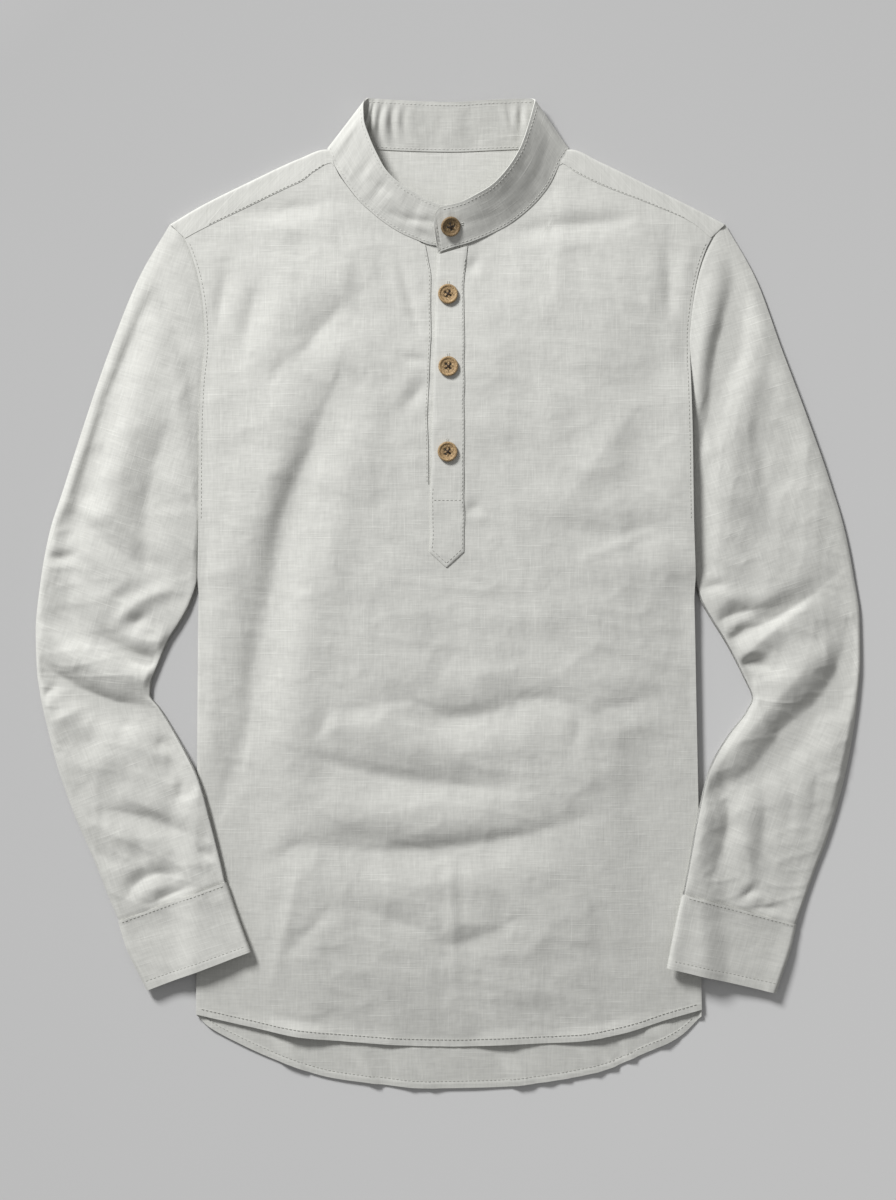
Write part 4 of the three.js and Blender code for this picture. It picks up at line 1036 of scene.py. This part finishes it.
class ShirtColours(bpy.types.PropertyGroup):
    linen: colour_setting("Linen", "Colour of the cloth", (0.585, 0.585, 0.553))
    slubs: bpy.props.FloatProperty(
        name="Slubs", description="How strongly the thick threads show", default=1.0, min=0, max=3,
        subtype="FACTOR",
    )
    # Partly the thread's own colour, partly painted shade: darker than the sewing thread for the
    # shade in its stitch holes and seam lines
    hem_thread: colour_setting(
        "Hem thread", "Colour of the thread in the hems, cuffs and seams", (0.40, 0.40, 0.37),
    )
    thread: colour_setting("Thread", "Colour of the sewing thread", (0.63, 0.63, 0.595))
    button_thread: colour_setting(
        "Button thread", "Colour of the thread in the buttons", (0.045, 0.028, 0.018),
    )
    button_light: colour_setting(
        "Coconut, light", "Light colour of the buttons", (0.64, 0.49, 0.27),
    )
    button_dark: colour_setting("Coconut, dark", "Dark colour of the buttons", (0.30, 0.16, 0.06))
    floor: colour_setting("Floor", "Colour of the board under the shirt", (0.553, 0.553, 0.553))


def hem_rise(x, y, gap):
    """How far the back's hem stands off the table, gap above its edge."""
    px, py = x + PUCKER_FROM, y + PUCKER_FROM
    wave = 0.5 + 0.5 * soft_noise(px, py, 24, 60, 5)
    pucker = np.maximum(0, soft_noise(px + 0.6 * y, py, 9, 50, 6))
    wave_rise = BACK_HEM_RISE * wave * mix(0.6, 1, ease(gap / 50))
    return wave_rise + BACK_HEM_RISE * pucker * ease((30 - gap) / 24)


class SHIRT_OT_back(bpy.types.Operator):
    """Lay the back with its longer curved hem on the table"""

    bl_idname = "shirt.back"
    bl_label = "Back"

    def execute(self, context):
        sizes = context.scene.shirt_sizes
        hem_rows = 1 - np.array([HEM_WIDTH, HEM_WIDTH + 0.7]) / FRONT_LENGTH
        rows = [np.linspace(0, 0.85, 60), np.linspace(0.85, 1, 40)[1:], hem_rows]
        share, down = np.meshgrid(np.linspace(0, 1, 141), np.sort(np.concatenate(rows)))
        hem_x = mix(BACK_HEM["x"][0], BACK_HEM["x"][-1], share)
        y = mix(BACK_YOKE_Y - 0.2, along_x(BACK_HEM, hem_x), down)
        side_y = mix(BACK_YOKE_Y - 0.2, BACK_HEM["y"][0], down)
        x = mix(side_x(side_y, "left") + 0.5, side_x(side_y, "right") - 0.5, share)
        low = ease((down - 0.9) / 0.05)
        gap = (1 - down) * (BACK_YOKE_Y - along_x(BACK_HEM, hem_x))
        from_edge = np.minimum(x - side_x(y, "left"), side_x(y, "right") - x)
        z = TABLE_LAYER + hem_rise(x, y, gap) * low * ease(from_edge / 15)
        seam_rise = (EDGE_LAYER - 0.6 - TABLE_LAYER) * ease((4.5 - from_edge) / 4.5)
        z = z + seam_rise * ease((-40 - y) / 20) * (y > -352)
        z = z + HEM_TURN * (gap < HEM_WIDTH)
        # The back's cloth is the darker linen, painted shade under the front's hem
        piece = grid_piece(
            "back_cloth", np.stack([x, y, z], -1)[:, ::-1], np.stack([x, y], -1)[:, ::-1],
            material_of(context, "linen_inside"), sizes.cloth,
        )
        hem_x = np.linspace(-202, 203, 600)
        hem_y = along_x(BACK_HEM, hem_x) + HEM_WIDTH * 1.05
        hem_z = TABLE_LAYER + hem_rise(hem_x, hem_y, HEM_WIDTH) + HEM_TURN + 0.35
        line = np.stack([hem_x, hem_y, hem_z], -1)
        stitches = sew(context, "back_stitches", [(line, upward(line))])
        finish_cloth(piece, "back")
        return {"FINISHED"}


def yoke_grid():
    """Middle points of the yoke: its back part, the fold at the shoulders and its front strips."""
    neck = np.linspace(NECK_LEFT, NECK_RIGHT, 61)
    edge = np.array([0, 0.8, 2, 4, 7, 11])
    left = np.concatenate([SHOULDER_LEFT + edge, np.linspace(-215, NECK_LEFT, 44)])
    right = np.concatenate([np.linspace(NECK_RIGHT, 214, 44), (SHOULDER_RIGHT - edge)[::-1]])
    columns = np.concatenate([left, neck[1:-1], right])
    in_neck = (columns > NECK_LEFT + 1e-6) & (columns < NECK_RIGHT - 1e-6)
    left_share = np.clip((columns - NECK_LEFT) / (SHOULDER_LEFT - NECK_LEFT), 0, 1)
    right_share = np.clip((columns - NECK_RIGHT) / (SHOULDER_RIGHT - NECK_RIGHT), 0, 1)
    shoulder_x = np.clip(columns, SHOULDER_LEFT + 0.8, SHOULDER_RIGHT - 0.8)
    shoulder_y = along_x(SHOULDER, columns)
    seam_x = np.where(columns < 0, mix(-94.5, -218.0, left_share), mix(92.0, 217.5, right_share))
    seam_y = along_x(FRONT_TOP, seam_x) - 0.9
    in_x, in_y = seam_x - shoulder_x, seam_y - shoulder_y
    in_x, in_y = np.where(in_neck, 0, in_x), np.where(in_neck, -1, in_y)
    length = np.hypot(in_x, in_y)
    in_x, in_y = in_x / length, in_y / length
    loft = (FRONT_LAYER - TABLE_LAYER) / 2
    centre_x, centre_y = shoulder_x + in_x * (loft + 0.3), shoulder_y + in_y * (loft + 0.3)
    back_left, back_right = side_x(BACK_YOKE_Y, "left") + 0.5, side_x(BACK_YOKE_Y, "right") - 0.5
    width = SHOULDER_RIGHT - SHOULDER_LEFT
    back_x = mix(back_left, back_right, (columns - SHOULDER_LEFT) / width)
    top_x = np.where(in_neck, shoulder_x, centre_x)
    top_y = np.where(in_neck, shoulder_y + 3.2, centre_y)
    back_rows = 26
    rows = []
    for up in np.linspace(0, 1, back_rows):
        y = mix(BACK_YOKE_Y + 0.2, top_y, up)
        x = mix(back_x, top_x, up)
        side_y = mix(BACK_YOKE_Y, SHOULDER_Y, up)
        open_end = 1.0 if up < 1 else 0.0
        left_bow = side_x(side_y, "left") + 0.5 - mix(back_left, SHOULDER_LEFT, up)
        right_bow = side_x(side_y, "right") - 0.5 - mix(back_right, SHOULDER_RIGHT, up)
        x = x + left_bow * left_share ** 4 * open_end
        x = x + right_bow * right_share ** 4 * open_end
        rows.append(np.stack([x, y, TABLE_LAYER + 0 * x], -1))
    for angle in np.linspace(-math.pi / 2, math.pi / 2, 9)[1:]:
        out = -loft * math.cos(angle)
        z = TABLE_LAYER + loft + loft * math.sin(angle)
        rows.append(np.stack([centre_x + in_x * out, centre_y + in_y * out, z + 0 * centre_x], -1))
    for down in np.linspace(0, 1, 7)[1:]:
        x, y = mix(centre_x, seam_x, down), mix(centre_y, seam_y, down)
        lap = front_height(x, y) + 0.32
        rows.append(np.stack([x, y, mix(FRONT_LAYER, lap, ease(down))], -1))
    points = np.array(rows)
    keep = np.ones((len(rows) - 1, len(columns) - 1), bool)
    between = in_neck[:-1] | in_neck[1:]
    keep[back_rows - 1:, between] = False
    return points, keep


class SHIRT_OT_yoke(bpy.types.Operator):
    """Fold the yoke over both shoulders"""

    bl_idname = "shirt.yoke"
    bl_label = "Yoke"

    def execute(self, context):
        sizes = context.scene.shirt_sizes
        points, keep = yoke_grid()
        weave = np.stack([points[..., 0], run_along(points, 0) + 100], -1)
        cloth = material_of(context, "linen_face")
        piece = grid_piece("yoke_cloth", points, weave, cloth, sizes.cloth, keep)
        lines = []
        for columns in (slice(8, 47), slice(-47, -8)):
            seam = points[-2, columns] * 0.35 + points[-1, columns] * 0.65
            lines.append((seam + [0, 0, 0.4], upward(seam)))
        stitches = sew(context, "yoke_stitches", lines)
        finish_cloth(piece, "yoke")
        return {"FINISHED"}


class SHIRT_OT_front(bpy.types.Operator):
    """Lay the front with its slit and curved hem over the back"""

    bl_idname = "shirt.front"
    bl_label = "Front"

    def execute(self, context):
        sizes = context.scene.shirt_sizes
        points, weave, keep = front_grid(sizes.pitch / MM)
        piece = grid_piece(
            "front_cloth", points[:, ::-1], weave[:, ::-1], material_of(context, "linen_face"),
            sizes.cloth, keep[:, ::-1],
        )
        x = np.linspace(-205, 206, 700)
        lines = [surface_line(front_surface, x, along_x(FRONT_HEM, x) + HEM_WIDTH, 0.65)]
        # The armhole stitches in the darker thread also paint the seam's shadow line
        armhole_y = np.linspace(UNDERARM_Y, 292, 400)
        for side, way in (("left", 1), ("right", -1)):
            armhole_x = side_x(armhole_y, side) + way * 1.4
            lines.append(surface_line(front_surface, armhole_x, armhole_y, 0.4))
        stitches = sew(context, "front_stitches", lines)
        finish_cloth(piece, "front")
        return {"FINISHED"}


def placket_edge(y, side):
    """X of the upper placket's edge, a little wavy as sewn linen is."""
    waves = 0.55 * soft_noise(y + 400, 0 * y + (40 if side == "left" else 70), 16, 10, 27)
    return smooth(PLACKET_OVER["y"], PLACKET_OVER[side], y) + waves


def placket_surface(x, y):
    return front_surface(x, y) + [0, 0, LAP]


class SHIRT_OT_plackets(bpy.types.Operator):
    """Sew the two placket strips down the front's slit"""

    bl_idname = "shirt.plackets"
    bl_label = "Plackets"

    def execute(self, context):
        self.under_strip(context)
        self.upper_strip(context)
        return {"FINISHED"}

    def under_strip(self, context):
        rows = np.linspace(SLIT_END_Y + 0.8, 291, 90)
        share, y = np.meshgrid(np.linspace(0, 1, 15), rows)
        x = mix(SLIT_LEFT - 2.0 + np.minimum(0, slit_bend(y)), SLIT_RIGHT + 1.0, share)
        y = np.minimum(y, along_x(FRONT_TOP, x) + 1.6)
        strip = front_surface(x, y)
        strip[..., 2] -= 0.75
        piece = grid_piece(
            "placket_under_cloth", strip, np.stack([x + 40, y], -1),
            material_of(context, "linen_face"), context.scene.shirt_sizes.cloth,
        )
        finish_cloth(piece, "placket_under")

    def upper_strip(self, context):
        top = PLACKET_OVER["y"][-1]
        low = PLACKET_OVER["y"][0]
        point_x, point_y = PLACKET_POINT
        near_left, near_right = [0, 0.015, 0.04, 0.08], [0.92, 0.96, 0.985, 1]
        shares = np.concatenate([near_left, np.linspace(0.13, 0.87, 14), near_right])
        rows = np.concatenate([np.linspace(point_y, low, 12)[:-1], np.linspace(low, top, 110)])
        share, y = np.meshgrid(shares, rows)
        pointed = np.clip((y - point_y) / (low - point_y), 0, 1)
        left = mix(point_x - 0.8, placket_edge(y, "left"), pointed)
        right = mix(point_x + 0.8, placket_edge(y, "right"), pointed)
        x = mix(left, right, share)
        y = y + np.clip((y - 262) / (top - 262), 0, 1) * mix(-1, 6.5, share)
        points = placket_surface(x, y)
        edge = np.minimum(x - left, right - x)
        points[..., 2] -= 0.35 * np.exp(-((edge / 0.9) ** 2))
        piece = grid_piece(
            "placket_over_cloth", points, np.stack([x + 300, y], -1),
            material_of(context, "linen_face"), context.scene.shirt_sizes.band_cloth,
        )
        long_y, box_y, upper_y = (
            np.linspace(*span) for span in ((37, 279, 400), (37, 88, 90), (92, 282, 300))
        )
        cross_x = np.linspace(-12.6, 11.2, 40)
        edge_line = self.on_placket(placket_edge(long_y, "right") - 1.2, long_y)
        slit_x = SLIT_LEFT - 1.2 + slit_bend(upper_y)
        lines = [
            self.on_placket(placket_edge(box_y, "left") + PLACKET_INSET, box_y),
            surface_line(front_surface, slit_x, upper_y, 0.33),
            self.on_placket(cross_x, np.full(40, 77.5)),
        ]
        for side, way in (("left", 1), ("right", -1)):
            tip = np.linspace(0, 1, 30)
            tip_x = mix(placket_edge(36, side) + way * PLACKET_INSET, point_x + way * 0.4, tip)
            lines.append(self.on_placket(tip_x, mix(36.8, point_y + 2.6, tip)))
        stitches = [
            sew(context, "placket_edge_stitches", [edge_line], "sewing_thread"),
            sew(context, "placket_stitches", lines),
        ]
        finish_cloth(piece, "placket_over")

    def on_placket(self, x, y):
        return surface_line(placket_surface, x, y, 0.55)


class SHIRT_OT_collar(bpy.types.Operator):
    """Stand the collar band round the neck, its ends lapped at the front"""

    bl_idname = "shirt.collar"
    bl_label = "Collar"

    def execute(self, context):
        sizes = context.scene.shirt_sizes
        last = len(COLLAR["base_x"]) - 1
        columns = np.concatenate([
            np.linspace(0, 13, 118), np.linspace(13, 20, 141)[1:], np.linspace(20, last, 100)[1:],
        ])
        along, up = np.meshgrid(columns, np.linspace(0, 1, 23))
        points = collar_points(along, up)
        middle_run = np.broadcast_to(run_along(points, 1)[11], up.shape)
        piece = grid_piece(
            "collar_cloth", points, np.stack([middle_run, up * 40 + 500], -1),
            material_of(context, "linen_face"), sizes.band_cloth,
        )
        lines = [self.seam(height, start, end) for height, start, end in (
            (0.06, 0.1, 12), (0.06, 20.5, last - 0.5), (0.93, 2.2, 11.8),
            (0.93, 20.8, last - 1.5), (0.93, 13.4, 19.4), (0.05, 13.4, 19.4),
        )]
        end_line = collar_points(np.full(60, 0.45), np.linspace(0.08, 0.9, 60))
        lines.append((end_line + [1.2, 0, 0.6], np.tile([0.0, -0.3, 0.95], (60, 1))))
        stitches = sew(context, "collar_stitches", lines, "sewing_thread")
        finish_cloth(piece, "collar")
        return {"FINISHED"}

    def seam(self, height, start, end):
        """A line along the band at one height, lifted off its cloth."""
        at = np.linspace(start, end, 500)
        line = collar_points(at, np.full(500, height))
        ahead = collar_points(at + 0.05, np.full(500, height)) - line
        above = collar_points(at, np.full(500, height + 0.02)) - line
        normals = np.cross(ahead, above)
        normals /= np.linalg.norm(normals, axis=1, keepdims=True)
        normals *= np.sign(normals[:, 2:3])
        return line + normals * 0.55, normals


class SHIRT_OT_sleeves(bpy.types.Operator):
    """Set both sleeves into the armholes, bent at the elbows"""

    bl_idname = "shirt.sleeves"
    bl_label = "Sleeves"

    def execute(self, context):
        for side in ("left", "right"):
            rows = np.linspace(0, len(SLEEVES[side]["outer_x"]) - 1.01, 310)
            along, across, upper = tube_places(rows, 116)
            points = sleeve_points(side, along, across, upper)
            weave = sleeve_weave(side, points[..., 0], points[..., 1], upper)
            name, cloth = f"sleeve_{side}", context.scene.shirt_sizes.cloth
            piece = tube_piece(context, name + "_cloth", side, points, weave, cloth)
            finish_cloth(piece, name)
        return {"FINISHED"}


class SHIRT_OT_cuffs(bpy.types.Operator):
    """Sew a plain cuff to each sleeve"""

    bl_idname = "shirt.cuffs"
    bl_label = "Cuffs"

    def execute(self, context):
        rows = np.concatenate([
            [0.006, 0.02, 0.05], np.linspace(0.1, 1.8, 26), np.linspace(1.82, 2.0, 8),
        ])
        for side in ("left", "right"):
            along, across, upper = tube_places(rows, 80)
            points = cuff_points(side, along, across, upper)
            around = np.where(upper, 2 - across, across)
            weave = np.stack([(around - 1.5) * 97, along * 30 + 900], -1)
            name, cloth = f"cuff_{side}", context.scene.shirt_sizes.band_cloth
            piece = tube_piece(context, name + "_cloth", side, points, weave, cloth)
            lines = []
            for at in (0.09, 1.82):
                share = np.linspace(0.02, 0.98, 240)
                line = cuff_points(side, np.full(240, at), share, np.ones(240, bool))
                lines.append((line + [0, 0, 0.6], upward(line)))
            stitches = sew(context, name + "_stitches", lines)
            finish_cloth(piece, name)
        return {"FINISHED"}


def button_mesh(name, diameter):
    """A turned button with a rounded rim, a dished middle and four holes."""
    radius = diameter / 2
    vertices, faces = [], []

    def ring(centre_x, centre_y, share, height, count, start=0.0):
        """Vertices round a circle, all given as shares of the button's radius."""
        for k in range(count):
            turn = start + 2 * math.pi * k / count
            x, y = centre_x + share * math.cos(turn), centre_y + share * math.sin(turn)
            vertices.append((radius * x, radius * y, radius * height))

    for share, height in BUTTON_PROFILE:
        ring(0.0, 0.0, share, height, RIM_SIDES)
    top_ring = (len(BUTTON_PROFILE) - 1) * RIM_SIDES
    for low in range(0, top_ring, RIM_SIDES):
        for k in range(RIM_SIDES):
            a, b = low + k, low + (k + 1) % RIM_SIDES
            faces.append((a, b, b + RIM_SIDES, a + RIM_SIDES))
    # The dished top and the flat underside: each quarter is a fan round its hole
    quarter, hole_quarter = RIM_SIDES // 4, HOLE_SIDES // 4
    for ring_start, level, underside in ((top_ring, BUTTON_PROFILE[-1][1], False), (0, 0.0, True)):
        centre = len(vertices)
        vertices.append((0, 0, radius * level))
        for q in range(4):
            middle = math.pi / 4 + q * math.pi / 2
            out = HOLE_SPREAD * math.sqrt(2)
            hole = len(vertices)
            hole_x, hole_y = out * math.cos(middle), out * math.sin(middle)
            ring(hole_x, hole_y, HOLE_RADIUS, level, HOLE_SIDES, middle + math.pi)
            rim = [ring_start + (q * quarter + k) % RIM_SIDES for k in range(quarter + 1)]
            far_side = [hole + (hole_quarter + k) % HOLE_SIDES for k in range(HOLE_SIDES // 2 + 1)]
            fan = []
            for k in range(quarter):
                h0, h1 = (far_side[round(n * (HOLE_SIDES // 2) / quarter)] for n in (k, k + 1))
                fan.append((rim[k], rim[k + 1], h1, h0) if h0 != h1 else (rim[k], rim[k + 1], h0))
            for k in range(hole_quarter):
                a, b = (hole + HOLE_SIDES - n for n in (k, k + 1))
                fan.append((hole + k, hole + k + 1, rim[0]))
                fan.append((b, a if k else hole, rim[-1]))
            fan.append((centre, rim[0], hole))
            fan.append((centre, hole, rim[-1]))
            faces.extend(face[::-1] if underside else face for face in fan)
    per_level = 1 + 4 * HOLE_SIDES
    first_hole = len(vertices) - 2 * per_level + 1
    for hole in range(first_hole, first_hole + 4 * HOLE_SIDES, HOLE_SIDES):
        for k in range(HOLE_SIDES):
            a, b = hole + k, hole + (k + 1) % HOLE_SIDES
            faces.append((a, b, b + per_level, a + per_level))
    mesh = bpy.data.meshes.new(name)
    mesh.from_pydata(vertices, [], faces)
    mesh.validate()
    mesh.polygons.foreach_set("use_smooth", np.ones(len(mesh.polygons), bool))
    return mesh


class SHIRT_OT_buttons(bpy.types.Operator):
    """Sew the four buttons on and work their buttonholes"""

    bl_idname = "shirt.buttons"
    bl_label = "Buttons"

    def execute(self, context):
        sizes = context.scene.shirt_sizes
        at, height = np.array([COLLAR_BUTTON_ROW]), np.array([COLLAR_BUTTON_UP])
        middle = collar_points(at, height)[0]
        ahead = (collar_points(at + 0.2, height) - collar_points(at - 0.2, height))[0]
        above = (collar_points(at, height + 0.1) - collar_points(at, height - 0.1))[0]
        seats = [(middle, np.cross(ahead, above), 0.2, "coconut_dark", (1, 0))]
        for x, y, turn in zip(*BUTTON_PLACES.values()):
            line, normals = surface_line(placket_surface, np.array([x]), np.array([y]), 0.0)
            seats.append((line[0], normals[0], turn, "coconut", (0, 1)))
        for number, (place, normal, turn, finish, run) in enumerate(seats, 1):
            normal = Vector(normal).normalized()
            square = normal.to_track_quat("Z", "Y").to_matrix().to_4x4()
            seat = Matrix.Translation((Vector(place) + normal * 1.0) * MM) @ square
            seat = seat @ Matrix.Rotation(turn, 4, "Z")
            mesh = button_mesh(f"button_{number}_disc", sizes.button)
            mesh.transform(seat)
            piece = add_object(f"button_{number}_disc", mesh, material_of(context, finish))
            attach(piece, "root")
            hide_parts(f"button_{number}")
            self.sew_on(context, seat, number, sizes.button / 2 / MM)
            self.buttonhole(context, place, run, number)
        return {"FINISHED"}

    def sew_on(self, context, seat, number, radius):
        """Crossed threads through the four holes."""
        lines = []
        hole = HOLE_SPREAD * radius
        t = np.linspace(-1, 1, 12)
        for sign in (1, -1):
            for shift in (-0.35, 0.0, 0.35):
                x, y = t * hole + shift * 0.7, t * hole * sign - shift * 0.7 * sign
                z = radius * 0.2 + 0.25 - 0.9 * np.abs(t) ** 6
                points = np.stack([x, y, z], -1)
                world = np.array([list(seat @ Vector(p * MM)) for p in points]) / MM
                up = np.array(list(seat.to_3x3() @ Vector((0, 0, 1))))
                lines.append((world, np.tile(up, (12, 1))))
        name = f"button_{number}_thread"
        sew(context, name, lines, "button_thread", thread=0.5, length=2 * hole * 1.35, gap=0.05)

    def buttonhole(self, context, place, run, number):
        """A slit with a close row of thread on both sides, running past the button."""
        across = np.array([-run[1], run[0]], float)
        run = np.array(run, float)
        t = np.linspace(0, 1, 5)[:, None]
        lines = []
        for side in (-1, 1):
            for k in range(46):
                start = place[:2] + run * (-9.0 + 0.44 * k) + across * side * 0.25
                end = start + across * side * 1.1
                flat = start * (1 - t) + end * t
                if number == 1:
                    at = np.interp(flat[:, 0], [-8, 1.5, 17.3], [0.3, 3.0, 4.0])
                    line = collar_points(at, COLLAR_BUTTON_UP + (flat[:, 1] - place[1]) / 36)
                    line[:, 0] = flat[:, 0]
                    line = line + [0, 0, 0.65]
                else:
                    line, _ = surface_line(placket_surface, flat[:, 0], flat[:, 1], 0.6)
                lines.append((line, upward(line)))
        name = f"buttonhole_{number}_thread"
        sew(context, name, lines, "sewing_thread", thread=0.4, length=1.0, gap=0.05)


class SHIRT_OT_stage(bpy.types.Operator):
    """Set up the board, the soft studio light and the camera straight above"""

    bl_idname = "shirt.stage"
    bl_label = "Stage"

    def execute(self, context):
        scene = context.scene
        self.board(scene.shirt_colours.floor)
        self.light(scene)
        self.camera(scene, scene.shirt_sizes.camera_height)
        return {"FINISHED"}

    def board(self, colour):
        square = ((-1, -1), (1, -1), (1, 1), (-1, 1))
        corners = [(x * BOARD_HALF, y * BOARD_HALF, 0) for x, y in square]
        mesh = bpy.data.meshes.new("board")
        mesh.from_pydata(corners, [], [(0, 1, 2, 3)])
        board = add_object("board", mesh, floor_material(colour))
        board.location.z = -0.0002

    def light(self, scene):
        world = bpy.data.worlds.new("studio")
        world.use_nodes = True
        sky = world.node_tree.nodes["Background"].inputs
        sky["Color"].default_value = (1.0, 1.0, 1.0, 1)
        sky["Strength"].default_value = 0.27
        scene.world = world
        key = bpy.data.lights.new("key", "AREA")
        key.shape = "DISK"
        key.size = 0.95
        key.energy = 163.0
        lamp = bpy.data.objects.new("key", key)
        lamp.location = KEY_PLACE
        lamp.rotation_euler = (-Vector(KEY_PLACE)).to_track_quat("-Z", "Y").to_euler()
        scene.collection.objects.link(lamp)

    def camera(self, scene, height):
        lens = bpy.data.cameras.new("camera")
        lens.sensor_width = 36.0
        lens.lens = 36.0 * height / PICTURE_HEIGHT
        lens.clip_end = 20
        camera = bpy.data.objects.new("camera", lens)
        scene.collection.objects.link(camera)
        camera.location = (-0.0002, -0.005, height)
        scene.camera = camera
        scene.view_settings.view_transform = "Standard"


STEPS = (
    SHIRT_OT_back, SHIRT_OT_yoke, SHIRT_OT_front, SHIRT_OT_plackets, SHIRT_OT_collar,
    SHIRT_OT_sleeves, SHIRT_OT_cuffs, SHIRT_OT_buttons, SHIRT_OT_stage,
)


class SHIRT_PT_panel(bpy.types.Panel):
    """The shirt's sizes, colours and building steps"""

    bl_idname = "SHIRT_PT_panel"
    bl_label = "Mandarin Collar Shirt"
    bl_space_type = "VIEW_3D"
    bl_region_type = "UI"
    bl_category = "Shirt"

    def draw(self, context):
        layout = self.layout
        for group in (context.scene.shirt_sizes, context.scene.shirt_colours):
            box = layout.box()
            for name in group.__annotations__:
                box.prop(group, name)
        for step in STEPS:
            layout.operator(step.bl_idname)


CLASSES = (ShirtSizes, ShirtColours, *STEPS, SHIRT_PT_panel)


def register():
    for item in CLASSES:
        bpy.utils.register_class(item)
    bpy.types.Scene.shirt_sizes = bpy.props.PointerProperty(type=ShirtSizes)
    bpy.types.Scene.shirt_colours = bpy.props.PointerProperty(type=ShirtColours)


def unregister():
    del bpy.types.Scene.shirt_colours
    del bpy.types.Scene.shirt_sizes
    for item in reversed(CLASSES):
        bpy.utils.unregister_class(item)


def main():
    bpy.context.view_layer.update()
    register()
    for step in STEPS:
        category, name = step.bl_idname.split(".")
        getattr(getattr(bpy.ops, category), name)()


if __name__ == "__main__":
    main()
